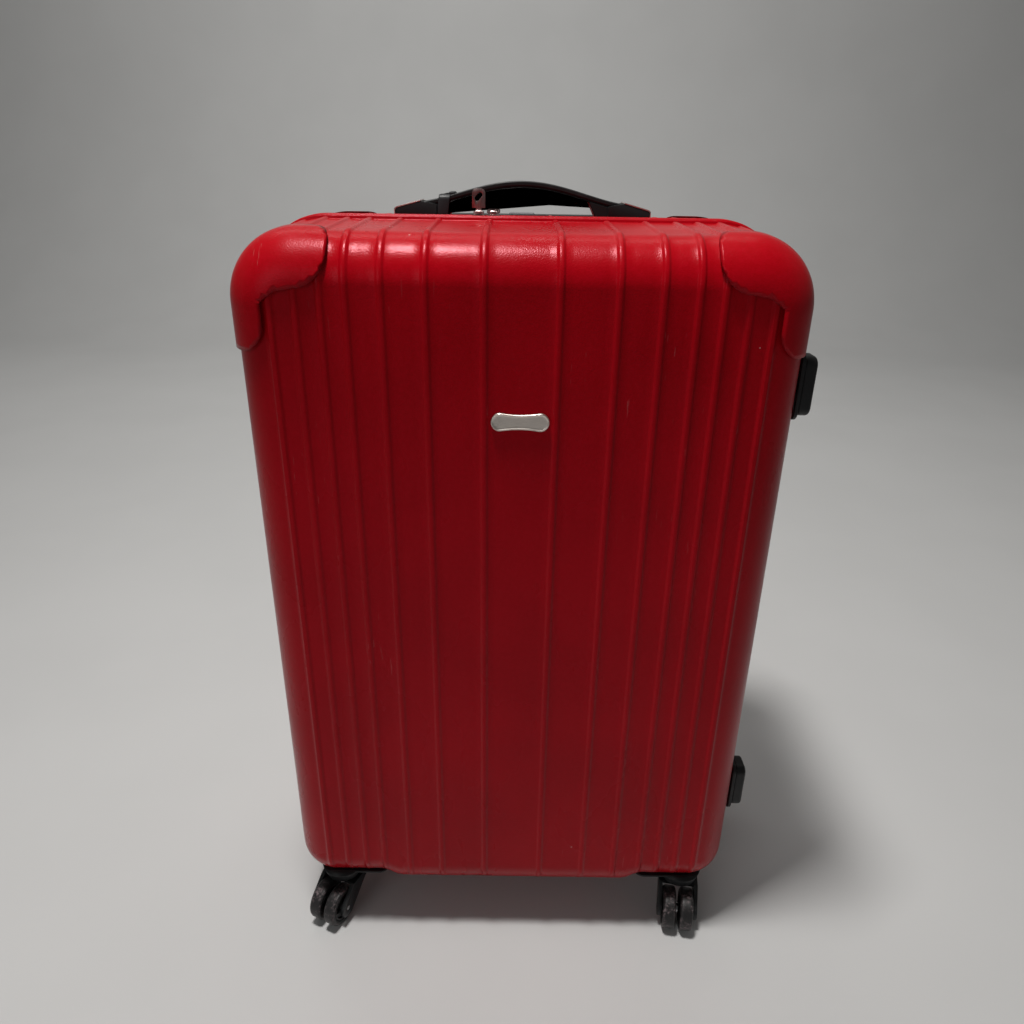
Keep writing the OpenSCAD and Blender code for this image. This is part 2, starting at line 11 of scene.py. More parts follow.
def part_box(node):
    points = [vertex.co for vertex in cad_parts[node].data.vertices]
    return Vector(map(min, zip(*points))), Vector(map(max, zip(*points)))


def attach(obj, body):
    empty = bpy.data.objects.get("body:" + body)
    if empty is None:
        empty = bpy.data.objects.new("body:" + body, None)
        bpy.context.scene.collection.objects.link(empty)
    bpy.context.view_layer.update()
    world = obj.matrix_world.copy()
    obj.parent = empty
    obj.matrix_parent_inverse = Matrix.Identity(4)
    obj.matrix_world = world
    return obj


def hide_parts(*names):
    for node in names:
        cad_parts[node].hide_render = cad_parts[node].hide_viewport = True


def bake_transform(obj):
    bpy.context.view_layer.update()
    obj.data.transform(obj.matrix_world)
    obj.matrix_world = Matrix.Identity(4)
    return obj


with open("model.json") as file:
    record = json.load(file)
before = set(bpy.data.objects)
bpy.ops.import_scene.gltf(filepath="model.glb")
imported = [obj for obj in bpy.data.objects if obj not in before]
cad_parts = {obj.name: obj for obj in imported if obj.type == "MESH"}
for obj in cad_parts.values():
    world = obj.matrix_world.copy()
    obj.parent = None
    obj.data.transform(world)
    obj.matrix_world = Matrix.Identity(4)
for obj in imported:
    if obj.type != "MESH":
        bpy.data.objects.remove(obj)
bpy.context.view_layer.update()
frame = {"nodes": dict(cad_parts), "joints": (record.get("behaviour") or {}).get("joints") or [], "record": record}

# Hard shell suitcase. Metres, +Z up, X to the right seen from the front, -Y towards the viewer,
# the zip seam on Y = 0. The shells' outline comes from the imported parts' boxes.

MM = 0.001
CORNERS = ("front_left", "front_right", "back_left", "back_right")
UP = Vector((0, 0, 1))


def in_mm(points):
    """Points given in millimetres, as metres."""
    return [tuple(c * MM for c in point) for point in points]


# ---- sizes of the shells, which the CAD nodes' boxes give, and the mouldings on them ----

BEAD_H = 4 * MM                     # rim bead above the shell
GUARD_H = 3.5 * MM                  # corner guards above the shell
RIB_H = 2.0 * MM
RIB_TOP = 1.2 * MM                  # half width of a rib's flat top
RIB_SLOPE = 3.0 * MM                # width of a rib's side
RIBS = [x * MM for x in (31.2, 79.5, 115.7, 144.7, 165.6, 186.5, 207.4)]    # distance from the middle
WALL = 3 * MM
EDGE_R = 40 * MM                    # between the walls and the large face
DRAFT = 3 * MM                      # how much the walls lean in up to there
shell_low, shell_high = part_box("front_shell")
SEAM_X = shell_high.x - BEAD_H
SEAM_TOP = shell_high.z - BEAD_H
UNDERSIDE = shell_low.z + BEAD_H
DEPTH = -shell_low.y - GUARD_H
EQUATOR = DEPTH - EDGE_R            # where the large radius starts
CORNER_STEP = 10 * MM               # the corners of the underside are higher than its middle
STEP_X = (129 * MM, 150 * MM)       # where that step lies
TOP_R = 61 * MM
BOTTOM_R = 44 * MM
TOP_CX = SEAM_X - TOP_R             # centres of the corners' radii
TOP_CZ = SEAM_TOP - TOP_R
BOTTOM_CX = SEAM_X - BOTTOM_R
BOTTOM_CZ = UNDERSIDE + CORNER_STEP + BOTTOM_R
FACE_INSET = DRAFT + EDGE_R
FACE_R = TOP_R - FACE_INSET


def smoothstep(t):
    """Rises gently from 0 to 1."""
    t = np.clip(t, 0, 1)
    return t * t * (3 - 2 * t)


# ---- materials ----

def material(name, colour, roughness, metallic=0.0, **sockets):
    """A new material with its Principled shader; sockets are set by name, with _ for a space."""
    made = bpy.data.materials.new(name)
    made.use_nodes = True
    shader = made.node_tree.nodes["Principled BSDF"]
    shader.inputs["Base Color"].default_value = (*colour, 1)
    shader.inputs["Roughness"].default_value = roughness
    shader.inputs["Metallic"].default_value = metallic
    for socket, value in sockets.items():
        shader.inputs[socket.replace("_", " ")].default_value = value
    return made


class Nodes:
    """Short names for the nodes that the materials are made of."""

    def __init__(self, made):
        self.tree = made.node_tree
        self.shader = self.tree.nodes["Principled BSDF"]
        self.coords = self.tree.nodes.new("ShaderNodeTexCoord").outputs["Object"]

    def new(self, kind, links=(), **values):
        node = self.tree.nodes.new(kind)
        for key, value in values.items():
            name = key.replace("_", " ")
            if name in node.inputs:
                node.inputs[name].default_value = value
            else:
                setattr(node, key, value)
        for socket, source in dict(links).items():
            self.tree.links.new(source, node.inputs[socket])
        return node

    def scaled(self, x, y, z):
        return self.new("ShaderNodeMapping", {"Vector": self.coords}, Scale=(x, y, z)).outputs[0]

    def noise(self, scale, detail=2.0, vector=None, roughness=0.5):
        return self.new("ShaderNodeTexNoise", {"Vector": vector or self.coords},
                        Scale=scale, Detail=detail, Roughness=roughness).outputs["Fac"]

    def spots(self, scale, radius, vector=None):
        """1 inside small round spots of irregular spacing, else 0."""
        cells = self.new("ShaderNodeTexVoronoi", {"Vector": vector or self.coords}, Scale=scale)
        return self.range(cells.outputs["Distance"], radius, 0.6 * radius, 0, 1)

    def range(self, value, low, high, to_low=0.0, to_high=1.0):
        node = self.new("ShaderNodeMapRange", {0: value})
        node.interpolation_type = "SMOOTHSTEP"
        for i, number in enumerate((low, high, to_low, to_high)):
            node.inputs[i + 1].default_value = number
        return node.outputs[0]

    def math(self, operation, a, b):
        node = self.tree.nodes.new("ShaderNodeMath")
        node.operation = operation
        for i, value in enumerate((a, b)):
            if isinstance(value, (int, float)):
                node.inputs[i].default_value = value
            else:
                self.tree.links.new(value, node.inputs[i])
        return node.outputs[0]

    def mix(self, fac, a, b):
        """Colour a where fac is 0 and b where it is 1; a and b are colours or sockets."""
        node = self.new("ShaderNodeMix", {0: fac}, data_type="RGBA")
        for i, value in ((6, a), (7, b)):
            if isinstance(value, tuple):
                node.inputs[i].default_value = (*value, 1)
            else:
                self.tree.links.new(value, node.inputs[i])
        return node.outputs[2]

    def attribute(self, name):
        return self.new("ShaderNodeAttribute", attribute_name=name).outputs["Fac"]

    def colour(self, socket):
        self.tree.links.new(socket, self.shader.inputs["Base Color"])

    def rough(self, socket):
        self.tree.links.new(socket, self.shader.inputs["Roughness"])

    def bump(self, height, distance, strength=1.0, normal=None):
        links = {"Height": height}
        if normal:
            links["Normal"] = normal
        node = self.new("ShaderNodeBump", links, Distance=distance, Strength=strength)
        self.tree.links.new(node.outputs[0], self.shader.inputs["Normal"])
        return node.outputs[0]


RED = (0.33, 0.0006, 0.0045)
RED_LIGHT = (0.42, 0.002, 0.012)
RED_DARK = (0.28, 0.0004, 0.0035)
# Painted crevice shade mixed with grime, laid along the foot of the corner guards.
SHADE_AND_GRIME = (0.018, 0.006, 0.006)
CHIP = (0.62, 0.42, 0.40)


def red_plastic():
    """Glossy moulded ABS with orange peel, faint smears, chips, scratches, and grime plus painted crevice shade at
    the foot of the corner guards.
    """
    made = material("red_abs", RED, 0.3, Specular_IOR_Level=0.22, Specular_Tint=(1, 0.36, 0.44, 1))
    n = Nodes(made)
    tone = n.range(n.noise(7, 3), 0.3, 0.7)
    base = n.mix(tone, RED_DARK, RED)
    mottle = n.range(n.noise(260, 2), 0.35, 0.7, 0, 0.18)
    base = n.mix(mottle, base, RED_LIGHT)
    scratch = n.range(n.noise(38, 2, n.scaled(9, 1, 0.7), 0.7), 0.70, 0.735, 0, 0.10)
    patch = n.range(n.noise(5, 1), 0.52, 0.66)
    scratch = n.math("MULTIPLY", scratch, patch)
    chips = n.math("MULTIPLY", n.spots(34, 0.035), n.range(n.noise(9, 0), 0.60, 0.62))
    wear = n.math("MAXIMUM", scratch, n.math("MULTIPLY", chips, 0.8))
    base = n.mix(wear, base, CHIP)
    # Painted crevice shade and grime: darkens the colour along the guards' foot, broken up by noise.
    shade_and_dirt = n.math("MULTIPLY", n.attribute("shade_and_grime"), n.range(n.noise(90, 3), 0.25, 0.6, 0.35, 1))
    n.colour(n.mix(shade_and_dirt, base, SHADE_AND_GRIME))
    smear = n.range(n.noise(16, 4, n.scaled(1, 1, 0.5)), 0.3, 0.75, 0.24, 0.36)
    n.rough(n.math("ADD", smear, n.math("MULTIPLY", n.math("MAXIMUM", shade_and_dirt, wear), 0.35)))
    peel = n.bump(n.noise(800, 2), 0.00021, 0.8)
    n.bump(n.noise(120, 1), 0.0003, 0.25, peel)
    return made


def grained_plastic(name, colour, roughness, grain=900, depth=0.00008, worn=0.35):
    """Black moulded plastic: fine leather grain, paler scuffs, uneven sheen."""
    made = material(name, colour, roughness, Specular_IOR_Level=0.28)
    n = Nodes(made)
    scuff = n.math("MULTIPLY", n.range(n.noise(60, 4), 0.56, 0.72), n.range(n.noise(17, 1), 0.45, 0.65))
    pale, deep = tuple(min(1, c * 2.4 + 0.03) for c in colour), tuple(c * 0.7 for c in colour)
    amount = n.math("MULTIPLY", scuff, worn)
    n.colour(n.mix(amount, n.mix(n.noise(24, 2), colour, deep), pale))
    n.rough(n.range(n.noise(30, 3), 0.25, 0.75, roughness - 0.08, roughness + 0.14))
    n.bump(n.noise(grain, 2), depth, 0.6)
    return made


def brushed_metal(name, colour, roughness, stretch=(1, 60, 60), scale=60, tint=0.75):
    made = material(name, colour, roughness, 1.0)
    n = Nodes(made)
    lines = n.noise(scale, 3, n.scaled(*stretch))
    n.colour(n.mix(n.range(lines, 0.3, 0.7), tuple(c * tint for c in colour), colour))
    n.rough(n.range(n.noise(45, 3), 0.3, 0.7, roughness - 0.06, roughness + 0.12))
    n.bump(lines, 0.00003, 0.5)
    return made


def woven(name, colour, dark, thread, roughness=0.85, sheen=0.25):
    """Plain weave: two crossed sets of threads, with loose fibres and faded patches."""
    made = material(name, colour, roughness, Sheen_Weight=sheen, Sheen_Roughness=0.5)
    n = Nodes(made)
    waves = []
    for axis in "XZ":
        wave = n.new("ShaderNodeTexWave", {"Vector": n.scaled(1, 1, 1)}, Scale=0.5 / thread,
                     Distortion=0.6, Detail=1.0)
        wave.bands_direction = axis
        waves.append(wave.outputs["Fac"])
    weave = n.math("MULTIPLY", waves[0], waves[1])
    fade = n.range(n.noise(14, 3), 0.3, 0.7)
    n.colour(n.mix(n.math("MULTIPLY", n.math("ADD", weave, fade), 0.5), dark, colour))
    fibres = n.bump(n.noise(2600, 2), 0.00005, 0.5)
    n.bump(weave, 0.00022, 0.8, fibres)
    return made


TYRE, TYRE_WORN = (0.014, 0.013, 0.0135), (0.16, 0.125, 0.13)
FLOOR, FLOOR_PALE = (0.50, 0.50, 0.50), (0.515, 0.515, 0.515)


def worn_tread():
    """Hard rubber tyre, scuffed pale and pinkish where it rolls."""
    made = material("wheel_rubber", TYRE, 0.55, Specular_IOR_Level=0.3)
    n = Nodes(made)
    patches = n.range(n.noise(95, 5, None, 0.65), 0.44, 0.64)
    fine = n.range(n.noise(420, 3), 0.40, 0.66)
    worn = n.math("MULTIPLY", n.math("MULTIPLY", patches, fine), n.attribute("worn"))
    n.colour(n.mix(worn, TYRE, TYRE_WORN))
    n.rough(n.range(worn, 0, 1, 0.42, 0.8))
    pits = n.bump(n.noise(240, 4), 0.0004, 0.6)
    n.bump(n.noise(1500, 1), 0.00006, 0.4, pits)
    return made


def floor_material():
    made = material("pale_floor", FLOOR, 0.75)
    n = Nodes(made)
    n.colour(n.mix(n.range(n.noise(3.0, 4), 0.3, 0.7), FLOOR, FLOOR_PALE))
    n.bump(n.noise(700, 2), 0.0002, 0.3)
    return made


red = red_plastic()
black = grained_plastic("black_abs", (0.010, 0.010, 0.011), 0.42)
matt_black = grained_plastic("black_soft_grip", (0.008, 0.008, 0.009), 0.62, 1400, 0.00005, 0.15)
band_rubber = grained_plastic("band_rubber", (0.018, 0.0185, 0.021), 0.5, 1100, 0.00004, 0.3)
caster_black = grained_plastic("caster_plastic", (0.011, 0.0115, 0.0125), 0.40, 700, 0.0001, 0.45)
board = grained_plastic("cover_board", (0.05, 0.05, 0.055), 0.7, 500, 0.0002, 0.2)
grey_button = grained_plastic("button_plastic", (0.12, 0.12, 0.13), 0.38, 900, 0.00005, 0.3)
tread = worn_tread()
rose_metal = brushed_metal("rose_metal", (0.80, 0.64, 0.60), 0.26, (60, 60, 1), 40)
zip_metal = brushed_metal("zip_metal", (0.34, 0.24, 0.235), 0.30, (40, 40, 4), 30, 0.6)
badge_metal = brushed_metal("badge_metal", (0.80, 0.72, 0.66), 0.30, (2, 60, 60), 90, 0.82)
tube_metal = brushed_metal("aluminium", (0.66, 0.67, 0.69), 0.28, (60, 60, 1), 60, 0.8)
axle_metal = brushed_metal("axle_steel", (0.50, 0.50, 0.51), 0.3, (60, 60, 60), 50, 0.6)
lining_cloth = woven("lining_cloth", (0.055, 0.055, 0.060), (0.025, 0.025, 0.028), 0.0006)
strap_web = woven("strap_webbing", (0.035, 0.035, 0.038), (0.012, 0.012, 0.013), 0.0011)
tape_web = woven("zip_tape_weave", (0.022, 0.020, 0.022), (0.008, 0.007, 0.008), 0.0008)


# ---- mesh helpers ----

def linked(name, data):
    """A new object in the scene."""
    made = bpy.data.objects.new(name, data)
    bpy.context.scene.collection.objects.link(made)
    return made


def new_piece(name, verts, faces, finish, smooth=True):
    """A mesh object, its normals facing outwards."""
    mesh = bpy.data.meshes.new(name)
    mesh.from_pydata([tuple(v) for v in verts], [], [tuple(int(i) for i in f) for f in faces])
    mesh.materials.append(finish)
    piece = linked(name, mesh)
    bm = bmesh.new()
    bm.from_mesh(mesh)
    bmesh.ops.recalc_face_normals(bm, faces=bm.faces)
    bm.to_mesh(mesh)
    bm.free()
    if smooth:
        mesh.polygons.foreach_set("use_smooth", [True] * len(mesh.polygons))
    return piece


def apply_modifiers(piece):
    bpy.context.view_layer.update()
    evaluated = piece.evaluated_get(bpy.context.evaluated_depsgraph_get())
    mesh = bpy.data.meshes.new_from_object(evaluated)
    piece.modifiers.clear()
    piece.data = mesh
    return piece


def rounded(piece, width, segments=3, angle=35):
    """Rounds the edges that are sharper than the angle, and shades the piece smooth."""
    bevel = piece.modifiers.new("round", "BEVEL")
    bevel.width = width
    bevel.segments = segments
    bevel.limit_method = "ANGLE"
    bevel.angle_limit = math.radians(angle)
    bevel.harden_normals = True
    piece.data.polygons.foreach_set("use_smooth", [True] * len(piece.data.polygons))
    apply_modifiers(piece)
    return piece


def settle(piece, body, slot, *nodes):
    """Fixes a piece to its body and hides the CAD nodes that it replaces; slot is not used."""
    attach(piece, body)
    if nodes:
        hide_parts(*nodes)
    return piece


def copy_of(node, name, finish):
    """A clean copy of a CAD node's mesh: one vertex at each point, flat faces whole."""
    bm = bmesh.new()
    bm.from_mesh(frame["nodes"][node].data)
    bmesh.ops.remove_doubles(bm, verts=bm.verts, dist=0.00001)
    bmesh.ops.dissolve_limit(bm, angle_limit=math.radians(0.5), verts=bm.verts, edges=bm.edges)
    mesh = bpy.data.meshes.new(name)
    bm.to_mesh(mesh)
    bm.free()
    mesh.materials.clear()
    mesh.materials.append(finish)
    return linked(name, mesh)


def body_of(node):
    return next(b for b, nodes in frame["record"]["behaviour"]["bodies"].items() if node in nodes)


def softened(node, finish, slot, width, segments=3):
    """Replaces a CAD node by the same shape with rounded edges."""
    piece = rounded(copy_of(node, node + "_finished", finish), width, segments)
    return settle(piece, body_of(node), slot, node)


def bands(rings, count, start=0, closed=False):
    """Faces between rings of count vertices each, which follow one another from vertex start."""
    faces = []
    for k in range(rings if closed else rings - 1):
        a, b = start + k * count, start + (k + 1) % rings * count
        faces += [(a + i, a + (i + 1) % count, b + (i + 1) % count, b + i) for i in range(count)]
    return faces


def caps(rings, count):
    """The two faces that close a row of rings."""
    return [tuple(range(count)), tuple(range(rings * count - 1, (rings - 1) * count - 1, -1))]


def swept(section, count, place):
    """A closed section carried round a closed path of count points; place(i, point of it) gives a vertex."""
    verts = [place(i, p) for i in range(count) for p in section]
    return verts, bands(count, len(section), closed=True)


def prism(outline, low, high, place):
    """An outline [(u, v)] drawn out from low to high; place maps (u, v, w) to a point."""
    count = len(outline)
    verts = [place(u, v, w) for w in (low, high) for u, v in outline]
    return verts, bands(2, count) + caps(2, count)


def lathe(profile, steps, place):
    """A closed profile [(radius, height)] turned round an axis; place maps (x, y, height) to a point."""
    turns = [2 * math.pi * k / steps for k in range(steps)]
    return swept(profile, steps, lambda k, p: place(
        p[0] * math.cos(turns[k]), p[0] * math.sin(turns[k]), p[1]))


def moulded(outline, low, high, place, finish, width, segments):
    """A prism with rounded edges, to be merged into a larger piece."""
    return rounded(new_piece("part", *prism(outline, low, high, place), finish, False), width, segments)


def merged(pieces, name):
    """Several mesh objects as one object."""
    with bpy.context.temp_override(active_object=pieces[0], selected_editable_objects=pieces):
        bpy.ops.object.join()
    pieces[0].name = name
    return pieces[0]


def two_layers(across, up, place):
    """A closed grid of two layers, as thin cloth has; place maps (0..1, 0..1, layer 0 or 1) to a point."""
    row, sheet = across + 1, (across + 1) * (up + 1)
    verts = [place(i / across, j / up, layer) for layer in (0, 1) for j in range(up + 1) for i in range(row)]
    faces = []
    for j in range(up):
        for i in range(across):
            a = [j * row + i, j * row + i + 1, (j + 1) * row + i + 1, (j + 1) * row + i]
            faces += [tuple(a), tuple(sheet + k for k in (a[3], a[2], a[1], a[0]))]
    rim = ([i for i in range(row)] + [row * j + across for j in range(1, up + 1)]
           + [row * up + i for i in range(across - 1, -1, -1)] + [row * j for j in range(up - 1, 0, -1)])
    faces += [(a, b, sheet + b, sheet + a) for a, b in zip(rim, rim[1:] + rim[:1])]
    return verts, faces


def joined(*parts):
    """Several (verts, faces) as one."""
    verts, faces = [], []
    for part_verts, part_faces in parts:
        start = len(verts)
        verts += list(part_verts)
        faces += [tuple(i + start for i in f) for f in part_faces]
    return verts, faces


def arc(cx, cy, r, start, end, steps):
    """Points on an arc, its angles in degrees."""
    return [(cx + r * math.cos(math.radians(start + (end - start) * i / steps)),
             cy + r * math.sin(math.radians(start + (end - start) * i / steps))) for i in range(steps + 1)]


def turned(degrees):
    """Cosine and sine of an angle in degrees."""
    return math.cos(math.radians(degrees)), math.sin(math.radians(degrees))


def rounded_rectangle(w, h, r, steps=8):
    """Outline of a rectangle round the origin."""
    x, y = w / 2 - r, h / 2 - r
    return (arc(x, y, r, 0, 90, steps) + arc(-x, y, r, 90, 180, steps)
            + arc(-x, -y, r, 180, 270, steps) + arc(x, -y, r, 270, 360, steps))


# ---- camera, light and floor ----

LENS, SENSOR = 27.07, 36            # mm
CAMERA_PLACE = (-0.0058, -0.791, 0.832)
CAMERA_DOWN, CAMERA_ROLL = 24.08, 0.865
LIGHTS = (                          # name, place, target, size, watts, colour
    ("key", (-0.28, -0.30, 2.5), (0, -0.1, 0.4), (0.30, 0.30), 50, (1, 0.98, 0.95)),
    ("fill", (-1.5, -2.3, 1.5), (0, 0, 0.4), (1.2, 1.2), 7, (1, 1, 1)),
    ("backdrop_light", (-0.5, 1.7, 3.2), (0, 4.2, 0.7), (3, 0.8), 64, (1, 0.99, 0.96)))
WORLD_COLOUR, WORLD_STRENGTH = (0.80, 0.80, 0.78, 1), 0.17
FLOOR_HALF, SWEEP_Y, SWEEP_H, BEND_R = 20, 4.6, 6, 1.6


def camera():
    data = bpy.data.cameras.new("camera")
    data.lens, data.sensor_width = LENS, SENSOR
    view = linked("camera", data)
    tilt = Matrix.Rotation(math.radians(90 - CAMERA_DOWN), 4, "X")
    roll = Matrix.Rotation(math.radians(CAMERA_ROLL), 4, "Z")
    view.matrix_world = Matrix.Translation(CAMERA_PLACE) @ tilt @ roll
    bpy.context.scene.camera = view
    bpy.context.scene.view_settings.view_transform = "Standard"


def area_light(name, place, target, size, power, colour):
    data = bpy.data.lights.new(name, "AREA")
    data.shape = "RECTANGLE"
    data.size, data.size_y = size
    data.energy = power
    data.color = colour
    lamp = linked(name, data)
    aim = (Vector(target) - Vector(place)).to_track_quat("-Z", "Y")
    lamp.matrix_world = Matrix.Translation(place) @ aim.to_matrix().to_4x4()


def studio():
    """Soft light, and a floor that curves up behind the case."""
    world = bpy.data.worlds.new("studio")
    bpy.context.scene.world = world
    world.use_nodes = True
    background = world.node_tree.nodes["Background"].inputs
    background["Color"].default_value = WORLD_COLOUR
    background["Strength"].default_value = WORLD_STRENGTH
    for light in LIGHTS:
        area_light(*light)
    section = ([(-FLOOR_HALF, 0)] + arc(SWEEP_Y - BEND_R, BEND_R, BEND_R, -90, 0, 24)
               + [(SWEEP_Y, SWEEP_H)])
    verts = [(x, y, z) for x in (-FLOOR_HALF, FLOOR_HALF) for y, z in section]
    n = len(section)
    faces = [(i, i + 1, n + i + 1, n + i) for i in range(n - 1)]
    new_piece("floor", verts, faces, floor_material())


camera()
studio()


# ---- shells ----

def rib_height(x):
    near = np.min([np.abs(np.abs(x) - r) for r in RIBS], axis=0)
    return RIB_H * (1 - smoothstep((near - RIB_TOP) / RIB_SLOPE))


def underside(x):
    """Height of the shell's underside at the seam: the corners are higher than the middle."""
    return UNDERSIDE + CORNER_STEP * smoothstep((np.abs(x) - STEP_X[0]) / (STEP_X[1] - STEP_X[0]))


def cross_samples(limit, gap):
    """X of the columns from -limit to limit: close together over each rib, at most gap apart elsewhere."""
    close = [k * MM for k in (0, 1.2, 1.9, 2.7, 3.5, 4.2)]
    xs = {0.0, limit}
    for r in RIBS:
        xs |= {round(r + s * k, 6) for k in close for s in (-1, 1) if 0 < r + s * k < limit}
    xs = sorted(xs)
    filled = [xs[0]]
    for x in xs[1:]:
        if x - filled[-1] < 0.35 * MM:
            continue
        steps = math.ceil((x - filled[-1]) / gap)
        filled += list(np.linspace(filled[-1], x, steps + 1)[1:])
    filled[-1] = limit
    return np.array([-x for x in filled[:0:-1]] + filled)


ARC_TOP = ([0, 3, 6, 9, 12, 14] + [15.2 + 1.2 * i for i in range(8)]
           + [25, 28, 32, 36, 41, 46, 51, 56, 61, 66] + list(np.linspace(71, 90, 21)))
ARC_BOTTOM = list(range(9)) + list(np.linspace(8, 90, 13)[1:])


def corner_stations(cx, cz, r, degrees, up):
    """Stations round a right-hand corner, at angles from the vertical."""
    return [(cx, cz, sine, up * cosine, r) for cosine, sine in map(turned, degrees)]


def mirrored(part):
    """Stations on the other side, in the opposite order."""
    return [(-cx, cz, -nx, nz, r) for cx, cz, nx, nz, r in part[::-1]]


def stations():
    """The seam outline, clockwise from the top left corner, as centre, direction and radius.

    Top and bottom have the same number of stations, so that the large face's columns join them.
    """
    xs = list(cross_samples(TOP_CX, 7 * MM))
    top_corner = corner_stations(TOP_CX, TOP_CZ, TOP_R, ARC_TOP, 1)
    top = mirrored(top_corner) + [(x, TOP_CZ, 0, 1, TOP_R) for x in xs[1:-1]] + top_corner
    straight = 1000 * (TOP_CZ - BOTTOM_CZ)
    rows = np.concatenate([np.linspace(0, 60, 7), np.linspace(60, straight, 20)[1:]]) * MM
    right = [(TOP_CX, TOP_CZ - r, 1, 0, TOP_R) for r in rows[1:-1]]
    extra = [TOP_CX + FACE_R * turned(a)[1] for a in ARC_TOP[1:len(ARC_TOP) - len(ARC_BOTTOM)]]
    low_corner = corner_stations(BOTTOM_CX, BOTTOM_CZ, BOTTOM_R, ARC_BOTTOM[::-1], -1)
    low_xs = [-x for x in extra[::-1]] + xs + extra
    bottom = (low_corner + [(x, underside(x) + BOTTOM_R, 0, -1, BOTTOM_R) for x in low_xs[::-1]]
              + mirrored(low_corner))
    return np.array(top), np.array(right), np.array(bottom), np.array(mirrored(right))


# Inset and depth from the wall's inner edge over the rim bead and a smaller lip to the shell.
RIM = in_mm((
    (3.1, 4.0), (0.5, 4.0), (-3.0, 4.0), (-3.6, 4.2), (-3.95, 4.8), (-4.0, 5.6), (-3.95, 6.6), (-3.6, 7.4),
    (-3.0, 7.8), (-2.5, 8.0), (-2.45, 8.3), (-2.9, 8.6), (-2.95, 9.4), (-2.7, 9.9), (-2.0, 10.2),
    (-0.5, 10.35), (0.25, 10.6), (0.45, 11.1), (0.33, 11.8)))
RIM_END = RIM[-1][1]
SIDE_DEPTHS = (12.6, 13.6, 18, 30, 48, 66, 84, 98, 110)    # mm


def shell_rows():
    """Rows from the seam to the large face: inset, depth, the normal's share outwards and in depth."""
    rows = [(inset, depth, 0, 0) for inset, depth in RIM]
    rows += [(DRAFT * y * MM / EQUATOR, y * MM, 1, 0) for y in SIDE_DEPTHS]
    for c, s in map(turned, list(range(5, 81, 5)) + list(np.linspace(83, 90, 8))):
        rows.append((DRAFT + EDGE_R * (1 - c), EQUATOR + EDGE_R * s, c, s))
    return rows


def hollow_rows(gap, degrees):
    """Rows of a surface inside the shell's large radius, at a gap from its outside."""
    r = EDGE_R - gap
    return [(DRAFT + gap + r * (1 - c), EQUATOR + r * s) for c, s in map(turned, degrees)]


def shell_mesh(side):
    """A closed half shell with its ribs and rim. side is -1 in front, 1 behind."""
    top, right, bottom, left = stations()
    ring = np.concatenate([top, right, bottom, left])
    count = len(ring)
    verts, faces = [], []

    def loop(inset, depth, out=0.0, deep=0.0):
        """Adds a ring of vertices, lifted by the ribs, and returns the number of its first."""
        start = len(verts)
        reach = ring[:, 4] - inset
        x = ring[:, 0] + ring[:, 2] * reach
        z = ring[:, 1] + ring[:, 3] * reach
        lift = rib_height(x) if out or deep else np.zeros(count)
        if out == 1:
            lift = lift * smoothstep((depth - RIM_END) / (0.8 * MM))
        low = np.clip(-ring[:, 3], 0, 1)
        lift = lift * (1 - low * smoothstep((out - 0.15) / 0.6))
        x = x + ring[:, 2] * out * lift
        z = z + ring[:, 3] * out * lift
        y = depth + deep * lift
        verts.extend(zip(x, side * y, z))
        return start

    def bridge(a, b):
        faces.extend((a + i, a + (i + 1) % count, b + (i + 1) % count, b + i) for i in range(count))

    starts = [loop(*row) for row in shell_rows()]
    for a, b in zip(starts, starts[1:]):
        bridge(a, b)

    # The large face: a column from each station of the top to the one below it.
    edge = starts[-1]
    columns, rows = len(top), len(right) + 1
    heights = np.concatenate([[TOP_CZ], right[:, 1], [BOTTOM_CZ]])
    fractions = (TOP_CZ - heights) / (TOP_CZ - BOTTOM_CZ)
    grid = np.zeros((columns, rows + 1), int)
    grid[:, 0] = edge + np.arange(columns)
    grid[:, rows] = edge + columns + len(right) + np.arange(columns)[::-1]
    grid[columns - 1, 1:rows] = edge + columns + np.arange(len(right))
    grid[0, 1:rows] = edge + 2 * columns + len(right) + np.arange(len(left))[::-1]
    for c in range(1, columns - 1):
        high, low = verts[grid[c, 0]], verts[grid[c, rows]]
        y = side * (DEPTH + float(rib_height(np.array(low[0]))))
        for r in range(1, rows):
            grid[c, r] = len(verts)
            verts.append((low[0], y, high[2] + fractions[r] * (low[2] - high[2])))
    faces.extend((grid[c, r], grid[c + 1, r], grid[c + 1, r + 1], grid[c, r + 1])
                 for c in range(columns - 1) for r in range(rows))

    # The wall's inner surface, from the large face back to the seam.
    inner_rows = hollow_rows(WALL, range(90, -1, -10)) + [(DRAFT * 0.5 + WALL, EQUATOR / 2)]
    inner = [loop(*row) for row in inner_rows] + [starts[0]]
    for a, b in zip(inner, inner[1:]):
        bridge(a, b)
    base = inner[0]
    low = base + columns + len(right)
    for c in range(1, columns - 2):
        faces.append((base + c, base + c + 1, low + columns - 2 - c, low + columns - 1 - c))
    faces.append([base, base + 1, low + columns - 2]
                 + list(range(low + columns - 1, low + columns + len(left))))
    last = base + columns - 1
    faces.append([last - 1, last] + list(range(last + 1, last + 1 + len(right))) + [low, low + 1])
    return verts, faces


# ---- corner guards: a raised pad over each top corner, drawn on the unrolled surface ----

